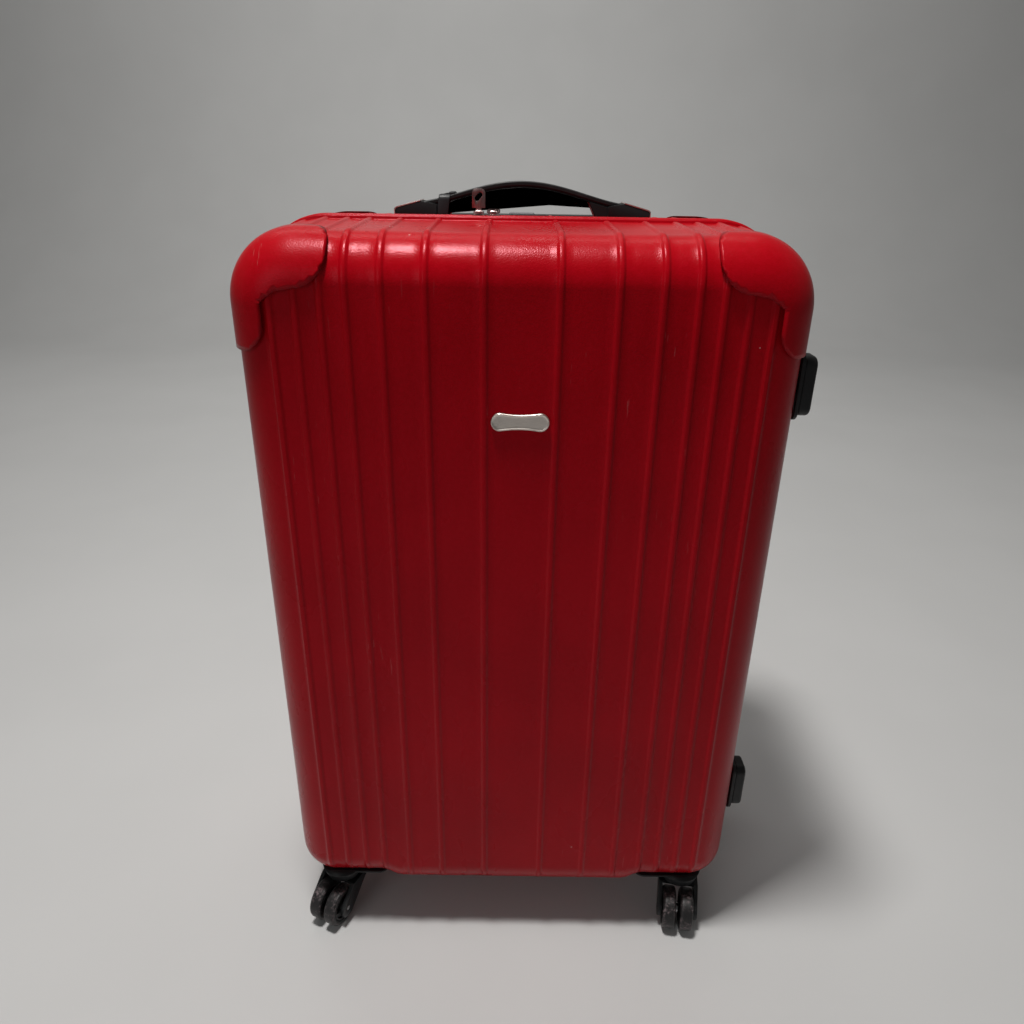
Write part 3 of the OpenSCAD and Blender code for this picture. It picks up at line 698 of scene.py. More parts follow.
GUARD_X = 164 * MM                  # inner end along the top
GUARD_Z = 750 * MM                  # lower edge near the inner end
GUARD_FALL = 0.2                    # how much it falls for each step outwards
GUARD_TIP_X = 219 * MM
GUARD_TIP_Z = 694 * MM
GUARD_START = 108 * MM              # distance from the seam
GUARD_LOWER_R, GUARD_UPPER_R, GUARD_TIP_R = 22 * MM, 31 * MM, 18 * MM
GUARD_SOFT = 30 * MM                # how gently the lower edge turns into the side edge
GUARD_RINGS = (                     # inset, height (mm), painted crevice shade and grime
    (0.0, -0.8, 1.0), (0.25, 0.45, 1.0), (0.9, 1.3, 0.6), (1.8, 2.1, 0.15), (3.0, 2.8, 0.0), (4.6, 3.3, 0.0),
    (6.4, 3.5, 0.0))
GUARD_ROOT = -1.6                   # height of the guard's hidden underside (mm)
GUARD_MESH = 3.6 * MM
ARC_LENGTH = (TOP_R - DRAFT) * math.pi / 2
QUARTER = EDGE_R * math.pi / 2


def surface(a, s):
    """Point and normal at a along the outline, 0 where the corner starts, and s from face to seam."""
    if s <= 0:
        inset, depth, out, deep = FACE_INSET - s, DEPTH, 0.0, 1.0
    elif s < QUARTER:
        turn = math.pi / 2 - s / EDGE_R
        inset, depth = DRAFT + EDGE_R * (1 - math.cos(turn)), EQUATOR + EDGE_R * math.sin(turn)
        out, deep = math.cos(turn), math.sin(turn)
    else:
        depth = EQUATOR - (s - QUARTER)
        inset, out, deep = DRAFT * depth / EQUATOR, 1.0, DRAFT / EQUATOR
    turn = min(max(a / (TOP_R - DRAFT), 0), math.pi / 2)
    cx = TOP_CX + min(a, 0)
    cz = TOP_CZ - max(a - ARC_LENGTH, 0)
    nx, nz = math.sin(turn), math.cos(turn)
    reach = TOP_R - inset
    return (np.array([cx + nx * reach, depth, cz + nz * reach]),
            np.array([nx * out, deep, nz * out]))


def guard_outline():
    """Closed outline in (a, s), as surface() has them."""
    lower_r, upper_r, tip_r = GUARD_LOWER_R, GUARD_UPPER_R, GUARD_TIP_R
    start = GUARD_X - TOP_CX

    def edge_z(x):
        return GUARD_Z - GUARD_FALL * (x - GUARD_X - 10 * MM)

    def on_face(z):
        return EDGE_R * math.asin((z - (SEAM_TOP - FACE_INSET)) / EDGE_R)

    s_high = QUARTER + EQUATOR - GUARD_START
    end = ARC_LENGTH + TOP_CZ - GUARD_TIP_Z
    s_side = EDGE_R * math.asin((GUARD_TIP_X - TOP_CX - FACE_R) / EDGE_R)

    def contour(turn):
        """s of the lower contour at an angle round the corner: level on the face, then down the side."""
        level = (edge_z(TOP_CX) - TOP_CZ) / max(math.cos(turn) + GUARD_FALL * math.sin(turn), 0.02)
        down = (GUARD_TIP_X - TOP_CX) / max(math.sin(turn), 0.02)
        r = min(level, down) - max(GUARD_SOFT - abs(level - down), 0) ** 2 / (4 * GUARD_SOFT)
        return r - FACE_R if r < FACE_R else EDGE_R * math.asin(min((r - FACE_R) / EDGE_R, 1))

    s_low = on_face(edge_z(GUARD_X + lower_r))
    points = arc(start + lower_r, s_low + lower_r, lower_r, 270, 180, 14)
    points += arc(start + upper_r, s_high - upper_r, upper_r, 180, 90, 20)
    points += [(a, s_high) for a in np.linspace(start + upper_r, end - tip_r, 50)[1:-1]]
    points += arc(end - tip_r, s_high - tip_r, tip_r, 90, 0, 10)
    points += [(end, s) for s in np.linspace(s_high - tip_r, s_side + tip_r, 22)[1:-1]]
    points += arc(end - tip_r, s_side + tip_r, tip_r, 0, -90, 10)
    points += [(a, s_side) for a in np.linspace(end - tip_r, ARC_LENGTH + 4 * MM, 10)[1:-1]]
    points += [(a, contour(a / (TOP_R - DRAFT))) for a in np.linspace(ARC_LENGTH, 0, 64)]
    return [p for p, q in zip(points, points[1:] + points[:1]) if math.dist(p, q) > 0.1 * MM]


def moved_inwards(outline, inset):
    """The outline moved inwards by a distance on the surface."""
    result = []
    count = len(outline)
    step = 0.2 * MM
    for i, (a, s) in enumerate(outline):
        point, normal = surface(a, s)
        before, after = surface(*outline[i - 1])[0], surface(*outline[(i + 1) % count])[0]
        inwards = np.cross(after - before, normal)
        inwards /= np.linalg.norm(inwards)
        along_a = (surface(a + step, s)[0] - surface(a - step, s)[0]) / (2 * step)
        along_s = (surface(a, s + step)[0] - surface(a, s - step)[0]) / (2 * step)
        result.append((a + inset * inwards @ along_a / (along_a @ along_a),
                       s + inset * inwards @ along_s / (along_s @ along_s)))
    return result


def inside(polygon, point, margin):
    """Whether a point is inside the polygon and at least margin from its corners."""
    x, y = point
    edges = zip(polygon, polygon[1:] + polygon[:1])
    hits = sum((y0 > y) != (y1 > y) and x < (x1 - x0) * (y - y0) / (y1 - y0) + x0
               for (x0, y0), (x1, y1) in edges)
    return hits % 2 == 1 and min(math.dist(p, point) for p in polygon) > margin


def guard_mesh(side, hand):
    """A closed corner guard and its weights of painted crevice shade and grime. hand is -1 on the left, 1 on the
    right.
    """
    outline = guard_outline()
    count = len(outline)
    verts, faces, shade_and_grime = [], [], []

    def put(a, s, height, shade_and_dirt):
        point, normal = surface(a, s)
        x, y, z = point + height * MM * normal
        verts.append((hand * x, side * y, z))
        shade_and_grime.append(shade_and_dirt)

    loops = [moved_inwards(outline, inset * MM) for inset, _, _ in GUARD_RINGS]
    for points, (_, height, shade_and_dirt) in zip(loops, GUARD_RINGS):
        for a, s in points:
            put(a, s, height, shade_and_dirt)
    faces += bands(len(loops), count)

    # The pad's middle: an even grid of points, joined to the last ring by triangles.
    last = loops[-1]
    low, high = np.min(last, axis=0), np.max(last, axis=0)
    inner = [(a, s) for a in np.arange(low[0], high[0], GUARD_MESH)
             for s in np.arange(low[1], high[1], GUARD_MESH) if inside(last, (a, s), 0.7 * GUARD_MESH)]
    flat = [Vector(p) for p in last + inner]
    out = delaunay_2d_cdt(flat, [], [list(range(count))], 1, 1e-7)
    base = len(verts) - count
    index = {}
    for i, p in enumerate(out[0]):
        origin = out[3][i][0] if out[3][i] else None
        if origin is not None and origin < count:
            index[i] = base + origin
        else:
            index[i] = len(verts)
            put(p.x, p.y, GUARD_RINGS[-1][1], 0)
    faces += [tuple(index[i] for i in f) for f in out[2]]

    # The underside, inside the shell's wall, closes the pad.
    flat_points = {**{i: outline[i] for i in range(count)}, **{base + i: last[i] for i in range(count)}}
    for i, p in enumerate(out[0]):
        flat_points[index[i]] = (p.x, p.y)
    under = {i: len(verts) + k for k, i in enumerate(sorted(flat_points))}
    for i in under:
        put(*flat_points[i], GUARD_ROOT, 1)
    faces += [tuple(under[index[i]] for i in f[::-1]) for f in out[2]]
    for i in range(count):
        j = (i + 1) % count
        faces.append((under[j], under[i], under[base + i], under[base + j]))
        faces.append((j, i, under[i], under[j]))
    return verts, faces, shade_and_grime


def shell(name, side, body, node):
    """A half shell with its two corner guards, moulded in one."""
    verts, faces = shell_mesh(side)
    shade_and_grime = [0.0] * len(verts)
    for hand in (-1, 1):
        more, more_faces, shade_and_dirt = guard_mesh(side, hand)
        faces += [tuple(i + len(verts) for i in f) for f in more_faces]
        verts += more
        shade_and_grime += shade_and_dirt
    piece = new_piece(name, verts, faces, red)
    # Weights of painted crevice shade and grime: 1 at the guards' foot, 0 on the shell.
    layer = piece.data.attributes.new("shade_and_grime", "FLOAT", "POINT")
    layer.data.foreach_set("value", np.array(shade_and_grime, np.float32))
    return settle(piece, body, "red_shell", node)


def cut_box(piece, low, high):
    """Cuts a box out of a closed piece."""
    verts, faces = prism([(low[0], low[1]), (high[0], low[1]), (high[0], high[1]), (low[0], high[1])],
                         low[2], high[2], lambda u, v, w: (u, v, w))
    cutter = new_piece("cutter", verts, faces, red, False)
    boolean = piece.modifiers.new("cut", "BOOLEAN")
    boolean.operation = "DIFFERENCE"
    boolean.object = cutter
    boolean.solver = "EXACT"
    apply_modifiers(piece)
    bpy.data.objects.remove(cutter)


def cut_for_bezel(piece, gap):
    """Cuts the opening for the pull handle's bezel, open at the top."""
    low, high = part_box("trolley_bezel")
    cut_box(piece, low - Vector((gap, gap, gap)), Vector((high.x + gap, high.y + gap, high.z + 0.05)))


shell("front_shell_moulding", -1, "front_half", "front_shell")
cut_for_bezel(shell("back_shell_moulding", 1, "back_half", "back_shell"), 0.3 * MM)

# ---- carry handles: x along the handle, y across it, h outwards from the shell ----

STRAP_LAYERS = ((0.0, 4.3, 24.0), (4.2, 5.4, 21.4), (5.3, 7.0, 23.2))   # from, to below the top, width (mm)
STRAP_WAVE = 112 * MM               # half the length over which the strap rises and falls
STRAP_T = STRAP_LAYERS[-1][1] * MM
TAB_IN, TAB_OUT = 66 * MM, 98 * MM  # the strap's thicker end tabs
STRAP_END = 0.4                     # height of the strap's ends as a share of the arch
GRIP_REACH, GRIP_HALF_W = 60 * MM, 11 * MM
PLATE_HALF_W, PLATE_START, PLATE_END = 16.2 * MM, 99.5 * MM, 125 * MM


def strap_rise(x, arch):
    """Height of the strap's upper face above the shell."""
    share = (math.cos(math.pi * min(abs(x) / STRAP_WAVE, 1)) + 1) / 2
    return arch * (STRAP_END + (1 - STRAP_END) * share ** 0.84)


def handle_strap(prefix, place, arch, scale):
    """Two moulded layers with a thin dark gap between them, and a tab at each end."""
    along = np.linspace(-TAB_OUT, TAB_OUT, 60)
    middle = [x for x in along if abs(x) <= TAB_IN]
    parts = []
    for start, end, width in STRAP_LAYERS:
        outline = [(x, strap_rise(x, arch) - start * MM * scale) for x in along]
        if end * MM == STRAP_T:
            tab = [(TAB_OUT, 2 * MM), (TAB_IN + 6 * MM, 2 * MM)]
            outline += tab + [(x, strap_rise(x, arch) - end * MM * scale) for x in middle[::-1]]
            outline += [(-x, h) for x, h in tab[::-1]]
        else:
            outline += [(x, strap_rise(x, arch) - end * MM * scale) for x in along[::-1]]
        half = width * MM / 2
        soft = 0.5 * MM if width < 22 else 1.1 * MM * scale
        parts.append(moulded(outline, -half, half, lambda u, v, w: place(u, w, v), black, soft, 3))
    settle(merged(parts, prefix + "_handle_strap_moulding"), prefix + "_handle", "black_plastic",
           prefix + "_handle_strap")


def handle_grip(prefix, place, arch, scale, pad):
    """Soft grip under the strap: flat above, rounded below, its ends slanting."""
    verts, steps, ring = [], 48, 24
    for i in range(steps + 1):
        share = math.sin(math.pi / 2 * (2 * i / steps - 1))
        x = GRIP_REACH * share
        depth = pad * (0.4 * (1 - abs(share) ** 12) ** 0.5 + 0.6 * (1 - share ** 2) ** 2) + 0.2 * MM
        slant = 5 * MM * share * abs(share) ** 3
        for c, s in (turned(180 * j / (ring - 1)) for j in range(ring)):
            down = depth * abs(s) ** 0.62
            y = GRIP_HALF_W * math.copysign(abs(c) ** 0.45, c)
            verts.append(place(x - slant * down / max(depth, MM), y,
                               strap_rise(x, arch) - STRAP_T * scale - 0.2 * MM - down))
    faces = bands(steps + 1, ring) + caps(steps + 1, ring)
    grip = rounded(new_piece(prefix + "_handle_soft_grip", verts, faces, matt_black), 0.5 * MM, 2)
    settle(grip, prefix + "_handle", "soft_grip", prefix + "_handle_grip")


def handle_plates(prefix, place, arch):
    """A folded metal plate over the outer end of each mount."""
    end_h = STRAP_END * arch
    path = ([(PLATE_START, end_h + 3.1 * MM)]
            + arc(PLATE_END - 3 * MM, end_h * 0.62 - 1.2 * MM, 3.6 * MM, 72, 0, 8)
            + [(PLATE_END + 0.6 * MM, 0.8 * MM)])
    inner = [(x - 0.9 * MM * (0.3 if i == 0 else 1 if i > 4 else 0.6), h - (1.1 * MM if i < 8 else 0))
             for i, (x, h) in enumerate(path)]
    n = len(path)
    faces = []
    for i in range(n - 1):
        a, b = 2 * i, 2 * (n + i)
        faces += [(a, a + 1, a + 3, a + 2), (b + 2, b + 3, b + 1, b),
                  (a, a + 2, b + 2, b), (a + 1, b + 1, b + 3, a + 3)]
    faces += [(0, 2 * n, 2 * n + 1, 1), (2 * n - 2, 2 * n - 1, 4 * n - 1, 4 * n - 2)]
    ends = [([place(hand * x, y, h) for x, h in path + inner for y in (-PLATE_HALF_W, PLATE_HALF_W)], faces)
            for hand in (1, -1)]
    plates = rounded(new_piece(prefix + "_handle_end_plates", *joined(*ends), rose_metal, False), 0.3 * MM, 2)
    settle(plates, "back_half", "metal_trim", prefix + "_handle_trims")


def handle(prefix, place, arch, scale, pad):
    """A carry handle; scale thins the straps and pad is the grip's depth."""
    handle_strap(prefix, place, arch, scale)
    handle_grip(prefix, place, arch, scale, pad)
    softened(prefix + "_handle_mounts", black, "black_plastic", 0.9 * MM)
    handle_plates(prefix, place, arch)


mount_low, mount_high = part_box("top_handle_mounts")
strap_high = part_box("top_handle_strap")[1]
HANDLE_Y = (mount_low.y + mount_high.y) / 2
TOP_ARCH = strap_high.z - mount_low.z
handle("top", lambda x, y, h: (x, HANDLE_Y + y, mount_low.z + h), TOP_ARCH, 1, 9.5 * MM)
side_low, side_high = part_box("side_handle_mounts")
SIDE_Z = (side_low.z + side_high.z) / 2
SIDE_ARCH = side_high.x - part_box("side_handle_strap")[0].x
handle("side", lambda x, y, h: (side_high.x - h, HANDLE_Y + y, SIDE_Z + x), SIDE_ARCH, 0.57, 4.2 * MM)


def tag_band():
    """Rubber band, leaning, round the left end of the strap, with a knob on its free end."""
    centre_x, lean = -77.5 * MM, 0.12
    low, high = 0.9 * MM, strap_rise(centre_x, TOP_ARCH) + 1.6 * MM
    middle = (low + high) / 2
    path = rounded_rectangle(27 * MM, high - low, 4 * MM, 6)
    section = rounded_rectangle(11 * MM, 1.5 * MM, 0.6 * MM, 3)

    def place(i, p):
        before, after = path[i - 1], path[(i + 1) % len(path)]
        along = Vector((after[0] - before[0], after[1] - before[1])).normalized()
        y, h = path[i][0] + along.y * p[1], middle + path[i][1] - along.x * p[1]
        return centre_x + lean * (h - middle) + p[0], HANDLE_Y + y, mount_low.z + h

    def on_knob(u, v, w):
        return centre_x + 8.5 * MM + u, HANDLE_Y + w, mount_low.z + high + 0.6 * MM + v

    loop = new_piece("loop", *swept(section, len(path), place), band_rubber)
    knob = moulded(rounded_rectangle(7 * MM, 5.4 * MM, 2 * MM, 5), -9 * MM, 9 * MM, on_knob, band_rubber,
                   1.2 * MM, 3)
    tail = moulded(in_mm(((-9, -1.2), (-6, -0.6), (3, 0.9), (3, 2.6), (-6, 1.2), (-9, 0.5))),
                   -5.5 * MM, 5.5 * MM, on_knob, band_rubber, 0.4 * MM, 2)
    settle(merged([loop, knob, tail], "tag_band"), "top_handle", "rubber_band", "tag_strap")


tag_band()

# ---- badge ----

BADGE_WAIST = 1.5 * MM
BADGE_RINGS = (                     # inset, height (mm)
    (0, 0.0), (0, 1.4), (0.15, 1.9), (0.5, 2.25), (0.9, 2.3), (1.3, 2.15), (1.7, 1.6), (2.0, 1.5), (3.2, 1.5))


def badge():
    """Name plate without any mark: bone shape, raised rim, satin middle."""
    low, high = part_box("badge")
    cx, cz = (low.x + high.x) / 2, (low.z + high.z) / 2
    end_r = (high.z - low.z) / 2
    end_x = (high.x - low.x) / 2 - end_r
    right = arc(end_x, 0, end_r, -80, 80, 22)
    top = [(x, right[-1][1] - BADGE_WAIST * (1 - (x / end_x) ** 2))
           for x in np.linspace(end_x - 1.5 * MM, -end_x + 1.5 * MM, 26)]
    points = np.array(right + top + [(-x, -z) for x, z in right + top])
    tangent = np.roll(points, -1, 0) - np.roll(points, 1, 0)
    normal = np.stack([tangent[:, 1], -tangent[:, 0]], 1)
    normal /= np.linalg.norm(normal, axis=1)[:, None]
    verts = [(cx + x, high.y - height * MM, cz + z) for inset, height in BADGE_RINGS
             for x, z in points - normal * inset * MM]
    faces = bands(len(BADGE_RINGS), len(points)) + caps(len(BADGE_RINGS), len(points))
    plate = rounded(new_piece("badge_plate", verts, faces, badge_metal), 0.05 * MM, 1, 60)
    settle(plate, "front_half", "badge_silver", "badge")


badge()

# ---- zip ----

def outline_path(inset, spacing):
    """Evenly spaced points round the seam outline, at an inset: x, z and the outward direction."""
    ring = np.concatenate(stations())
    reach = ring[:, 4] - inset
    points = np.stack([ring[:, 0] + ring[:, 2] * reach, ring[:, 1] + ring[:, 3] * reach,
                       ring[:, 2], ring[:, 3]], 1)
    closed = np.vstack([points, points[:1]])
    lengths = np.concatenate([[0], np.cumsum(np.hypot(*np.diff(closed[:, :2], axis=0).T))])
    count = round(lengths[-1] / spacing)
    at = np.arange(count) * lengths[-1] / count
    result = np.stack([np.interp(at, lengths, closed[:, i]) for i in range(4)], 1)
    result[:, 2:] /= np.linalg.norm(result[:, 2:], axis=1)[:, None]
    return result


TAPE_SECTION = in_mm((              # inset and depth: a bound edge, then the part behind the rim
    (-0.9, 0.5), (-1.25, 1.4), (-1.2, 2.4), (-0.6, 3.3), (0.6, 3.8), (5.6, 3.8), (5.8, 3.2), (1.0, 2.9),
    (0.1, 1.9), (0.0, 0.6)))
TOOTH = in_mm(((-0.5, 0.0), (0.5, 0.0), (0.62, 0.7), (0.35, 1.25), (-0.35, 1.25), (-0.62, 0.7)))
TOOTH_PITCH = 2.4 * MM


def zip_half(side, body, node):
    """Woven tape with a bound edge, and its row of coil teeth along the seam."""
    path = outline_path(0, 6 * MM)
    tape = new_piece(node + "_woven", *swept(TAPE_SECTION, len(path), lambda i, p: (
        path[i][0] - path[i][2] * p[0], side * p[1], path[i][1] - path[i][3] * p[0])), tape_web)
    settle(tape, body, "zip_tape", node)
    shift = 0 if side < 0 else 0.5 * TOOTH_PITCH
    teeth = [prism(TOOTH, -0.35 * MM, 1.7 * MM, lambda u, v, w: (
        x + nz * (shift + u) + nx * v, side * w, z - nx * (shift + u) + nz * v))
        for x, z, nx, nz in outline_path(0.6 * MM, TOOTH_PITCH) if nx <= 0.99]
    settle(new_piece(node + "_teeth", *joined(*teeth), band_rubber, False), body, "zip_tape")


zip_half(-1, "front_half", "front_zip_tape")
zip_half(1, "back_half", "back_zip_tape")
for letter in "ab":
    softened(f"zip_slider_{letter}", zip_metal, "zip_metal", 0.5 * MM, 3)
    softened(f"zip_pull_{letter}", zip_metal, "zip_metal", 0.35 * MM, 3)

# ---- casters ----

CASTER_PLATE = 3.2 * MM
PLATE_IN, PLATE_OUT = (58 * MM, 39 * MM), (24 * MM, 27 * MM)    # from the pivot, in x and y
BOWL_R, BOWL_EDGE_R, BORE_R = 21.5 * MM, 6 * MM, 4.1 * MM
WHEEL_HALF_W, TYRE_EDGE_R, TYRE_H, AXLE_R = 7.5 * MM, 3.4 * MM, 7.2 * MM, 3.05 * MM


def joint_place(name):
    return Vector(next(j["pos_m"] for j in frame["joints"] if j["name"] == name))


def caster_housing(corner, half):
    """Plate under the shell and the round bowl that holds the swivel bearing."""
    low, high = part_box(corner + "_housing")
    pivot = joint_place(corner + "_swivel")
    sx, sy = math.copysign(1, pivot.x), math.copysign(1, pivot.y)
    cx = pivot.x + sx * (PLATE_OUT[0] - PLATE_IN[0]) / 2
    cy = pivot.y + sy * ((PLATE_OUT[1] - PLATE_IN[1]) / 2 - 5 * MM)
    plate = moulded(rounded_rectangle(80 * MM, 56 * MM, 12 * MM), high.z - CASTER_PLATE, high.z,
                    lambda u, v, w: (cx + u, cy + v, w), caster_black, 1.4 * MM, 4)
    top = high.z - 0.4 * MM
    profile = ([(BORE_R, top), (BOWL_R + 3 * MM, top), (BOWL_R + 2.2 * MM, top - 3 * MM)]
               + arc(BOWL_R - BOWL_EDGE_R, low.z + BOWL_EDGE_R, BOWL_EDGE_R, 0, -90, 8)
               + [(11 * MM, low.z), (10 * MM, low.z + 0.8 * MM), (BORE_R, low.z + 0.8 * MM)])
    bowl = new_piece("bowl", *lathe(profile, 72, lambda x, y, h: (pivot.x + x, pivot.y + y, h)), caster_black)
    settle(merged([plate, bowl], corner + "_caster_housing"), half, "caster_plastic", corner + "_housing")


def tyre_profile(radius, rim):
    half, r = WHEEL_HALF_W, TYRE_EDGE_R
    return ([(rim, 0.6 * MM - half), (radius - r, -half)] + arc(radius - r, r - half, r, -90, 0, 7)[1:]
            + [(radius, -1.5 * MM), (radius, 1.5 * MM)]
            + arc(radius - r, half - r, r, 0, 90, 7) + [(rim, half - 0.6 * MM)])


def hub_parts(rim, place):
    """A ring inside the tyre, a thin web, a boss round the axle and five spokes on each side."""
    end, face, web = WHEEL_HALF_W - 0.2 * MM, WHEEL_HALF_W - 0.9 * MM, WHEEL_HALF_W - 3 * MM
    upper = [(AXLE_R, end), (5.6 * MM, end), (6.2 * MM, face), (7 * MM, web), (rim - 2.6 * MM, web),
             (rim - 1.8 * MM, face), (rim + 0.3 * MM, face)]
    parts = [lathe([(r, -h) for r, h in upper] + upper[::-1], 72, place)]
    reach = rim - 1.5 * MM
    spoke = [(6 * MM, -1.1 * MM), (reach, -1.6 * MM), (reach, 1.6 * MM), (6 * MM, 1.1 * MM)]
    for c, s in (turned(72 * k) for k in range(5)):
        for sign in (-1, 1):
            parts.append(prism(spoke, sign * (web - 0.5 * MM), sign * (face - 0.4 * MM),
                               lambda u, v, w: place(u * c - v * s, u * s + v * c, w)))
    return parts


def wheel(corner, letter):
    """Tyre with worn tread on a moulded hub with five spokes."""
    node = f"{corner}_wheel_{letter}"
    low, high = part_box(node)
    centre, radius = (low + high) / 2, (high.z - low.z) / 2
    rim = radius - TYRE_H
    trail = sum(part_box(corner + "_axle"), Vector()) / 2 - joint_place(corner + "_swivel")
    trail = Vector((trail.x, trail.y, 0)).normalized()
    across = Vector((-trail.y, trail.x, 0))

    def place(x, y, h):
        return centre + trail * x + UP * y + across * h

    tyre = new_piece(node + "_tyre", *lathe(tyre_profile(radius, rim), 96, place), tread)
    worn = tyre.data.attributes.new("worn", "FLOAT", "POINT")
    far = [v.co - centre for v in tyre.data.vertices]
    worn.data.foreach_set("value", [
        float(smoothstep((math.hypot(v.dot(trail), v.z) - radius + 4 * MM) / (3 * MM))) for v in far])
    settle(tyre, node, "wheel_tread", node)
    hub = new_piece(node + "_hub", *joined(*hub_parts(rim, place)), caster_black, False)
    settle(rounded(hub, 0.35 * MM, 2), node, "caster_plastic")


for corner in CORNERS:
    caster_housing(corner, corner.split("_")[0] + "_half")
    softened(corner + "_fork", caster_black, "caster_plastic", 1.1 * MM, 3)
    softened(corner + "_axle", axle_metal, "axle_steel", 0.5 * MM, 2)
    for letter in "ab":
        wheel(corner, letter)

# ---- side feet ----

FOOT_H = 62 * MM
FOOT_STEPS = (                      # width, height, corner radius, from, to, edge radius (mm)
    (34, 62, 9, 0, 4.2, 1.2), (29, 55, 8.5, 3.8, 16.4, 3.2))


def side_feet(node, body):
    """Moulded feet with a base flange, a raised pad and three grip lines across it."""
    low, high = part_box(node)
    cy = (low.y + high.y) / 2
    parts = []
    for cz in (low.z + FOOT_H / 2, high.z - FOOT_H / 2):
        for w, h, r, start, end, soft in FOOT_STEPS:
            parts.append(moulded(rounded_rectangle(w * MM, h * MM, r * MM), low.x + start * MM,
                                 low.x + end * MM, lambda u, v, x: (x, cy + u, cz + v), black, soft * MM, 5))
        for k in (-1, 0, 1):
            parts.append(moulded(rounded_rectangle(17 * MM, 3.2 * MM, 1.5 * MM, 4), high.x - 1.2 * MM,
                                 high.x - 0.05 * MM, lambda u, v, x: (x, cy + u, cz + k * 9 * MM + v),
                                 black, 0.4 * MM, 2))
    settle(merged(parts, node + "_moulding"), body, "black_plastic", node)


side_feet("front_side_feet", "front_half")
side_feet("back_side_feet", "back_half")

# ---- pull handle and the fittings inside ----

for node, finish, slot, width in (
        ("trolley_bezel", black, "black_plastic", 0.8),
        ("trolley_outer_tubes", tube_metal, "aluminium_tube", 0.5),
        ("trolley_foot_bracket", black, "black_plastic", 1),
        ("trolley_screws", axle_metal, "screw_steel", 0.4),
        ("trolley_cover", board, "cover_board", 0.6),
        ("trolley_mid_tubes", tube_metal, "aluminium_tube", 0.5),
        ("trolley_inner_tubes", tube_metal, "aluminium_tube", 0.5),
        ("trolley_grip", black, "black_plastic", 2),
        ("grip_button", grey_button, "button_grey", 1.2),
        ("strap_buckle", black, "black_plastic", 1.5),
        ("strap_anchors", black, "black_plastic", 1.2)):
    softened(node, finish, slot, width * MM)

# ---- cloth inside ----

SHEET_T = 0.9 * MM
LINING_GAP = 1.6 * MM
LINING_SHARES = (0.92, 0.8, 0.66, 0.5, 0.34, 0.18, 0.05)    # rings across the large face
SLACK = 0.35 * MM
rng = np.random.RandomState(7)


def lining(side, node, body):
    """Fabric lining: follows the shell's inside, slightly slack between its glued seams."""
    edge = outline_path(0, 9 * MM)
    count = len(edge)
    gap = WALL + LINING_GAP
    rows = [(DRAFT * 0.2 + gap, 12 * MM), (DRAFT * 0.5 + gap, EQUATOR * 0.5)]
    rows += hollow_rows(gap, range(0, 91, 10))
    waves = [rng.uniform(-1, 1, 4) for _ in range(5)]
    shelf, centre_z = UNDERSIDE + CORNER_STEP, (SEAM_TOP + UNDERSIDE) / 2

    def slack(x, z, depth):
        return SLACK * sum(w[3] * math.sin(38 * w[0] * x + 31 * w[1] * z + 60 * w[2] * depth + 5 * w[3])
                           for w in waves)

    verts, faces = [], []
    loops = len(rows) + len(LINING_SHARES)
    for layer in (0.0, SHEET_T):
        start = len(verts)
        for k, (inset, depth) in enumerate(rows):
            for x, z, nx, nz in edge:
                pull = layer + (slack(x, z, depth) if k > 0 else 0)
                lift = max(shelf - z, 0) if nz < -0.3 and abs(x) < STEP_X[1] else 0
                verts.append((x - nx * (inset + pull), side * (depth - 0.5 * pull),
                              z - nz * (inset + pull) + lift))
        outer = verts[-count:]
        for f in LINING_SHARES:
            verts += [(x * f, y - side * slack(x * f, z * f, 0.1) * (1 - f) * 2,
                       centre_z + (z - centre_z) * f) for x, y, z in outer]
        faces += bands(loops, count, start)
        faces.append(tuple(start + (loops - 1) * count + i for i in range(count)))
    total = len(verts) // 2
    faces += [(i, (i + 1) % count, total + (i + 1) % count, total + i) for i in range(count)]
    piece = new_piece(node + "_cloth", verts, faces, lining_cloth)
    if side > 0:
        cut_for_bezel(piece, 2 * MM)
        piece.data.materials.clear()
        piece.data.materials.append(lining_cloth)
    settle(piece, body, "lining", node)


lining(-1, "front_lining", "front_half")
lining(1, "back_lining", "back_half")


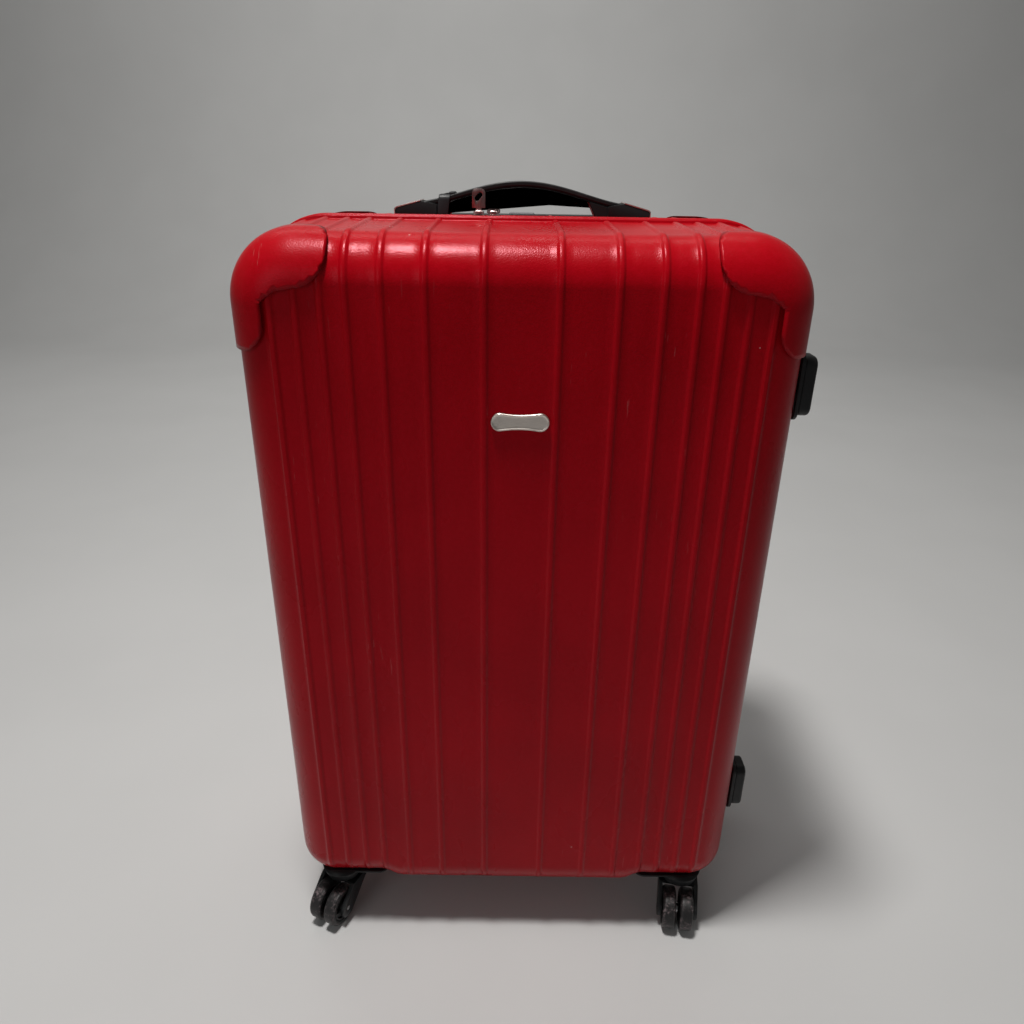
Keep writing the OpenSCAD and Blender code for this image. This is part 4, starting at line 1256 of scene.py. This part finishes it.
def pocket():
    """Flat pocket with a bound edge and a zip along its top."""
    low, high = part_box("front_pocket")
    middle, width = (low + high) / 2, high.x - low.x

    def place(i, j, layer):
        u, v = 2 * i - 1, 2 * j - 1
        bulge = (1 - u ** 4) * (1 - v ** 4)
        y = low.y + 1.2 * MM + (1.2 + 0.5 * math.sin(9 * u + 4 * v)) * MM * bulge + layer * SHEET_T
        return middle.x + u * width / 2, y, middle.z + v * (high.z - low.z) / 2

    piece = new_piece("front_pocket_cloth", *two_layers(24, 22, place), lining_cloth)
    settle(piece, "front_half", "lining", "front_pocket")
    edging = rounded_rectangle(width, 4 * MM, 1.5 * MM, 3)
    strips = [moulded(edging, low.y + 2.0 * MM, low.y + 3.9 * MM, lambda u, v, y: (u, y, z + v), tape_web,
                      0.4 * MM, 2) for z in (high.z - 3 * MM, high.z - 16 * MM, low.z + 3 * MM)]
    band = settle(merged(strips, "front_pocket_binding"), "front_half", "webbing")


pocket()


WEB_SECTION = ((-1, 0), (-0.96, 0.5), (-0.5, 0.62), (0.5, 0.62), (0.96, 0.5), (1, 0), (0.96, -0.5),
               (-0.96, -0.5))       # shares of the half width and of the thickness
WEB_HALF_W, WEB_T, WEB_STEPS = 12.5 * MM, 1.6 * MM, 30


def packing_straps():
    """Four webbing straps from the anchors to the buckle."""
    centre = sum(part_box("strap_buckle"), Vector()) / 2
    anchor_low, anchor_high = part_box("strap_anchors")
    n = len(WEB_SECTION)
    parts = []
    for sx in (-1, 1):
        for sz in (-1, 1):
            start = Vector((sx * 22 * MM, centre.y, centre.z + sz * 10 * MM))
            end = Vector((sx * (anchor_high.x - 12 * MM), centre.y,
                          anchor_high.z - 14 * MM if sz > 0 else anchor_low.z + 14 * MM))
            along = (end - start).normalized()
            side = Vector((-along.z, 0, along.x))
            verts = []
            for t in (i / WEB_STEPS for i in range(WEB_STEPS + 1)):
                p = start.lerp(end, t)
                p.y += 1.4 * MM * math.sin(math.pi * t) * math.sin(7 * t + sx + sz)
                verts += [p + side * u * WEB_HALF_W + Vector((0, h * WEB_T, 0)) for u, h in WEB_SECTION]
            parts.append((verts, bands(WEB_STEPS + 1, n) + caps(WEB_STEPS + 1, n)))
    straps = new_piece("packing_straps_webbing", *joined(*parts), strap_web)
    settle(rounded(straps, 0.1 * MM, 1, 50), "back_half", "webbing", "cross_straps")


packing_straps()


def hinge_strip():
    """Fabric strip inside the right side that joins the halves."""
    low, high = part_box("hinge_tape")
    x, reach, height = (low.x + high.x) / 2, 24 * MM, high.z - low.z
    strip = new_piece("hinge_strip_cloth", *two_layers(32, 40, lambda i, j, layer: (
        x + (layer - 0.5) * SHEET_T, (2 * i - 1) * reach, low.z + height * j)), tape_web)
    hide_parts("hinge_tape")
    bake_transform(strip)


hinge_strip()
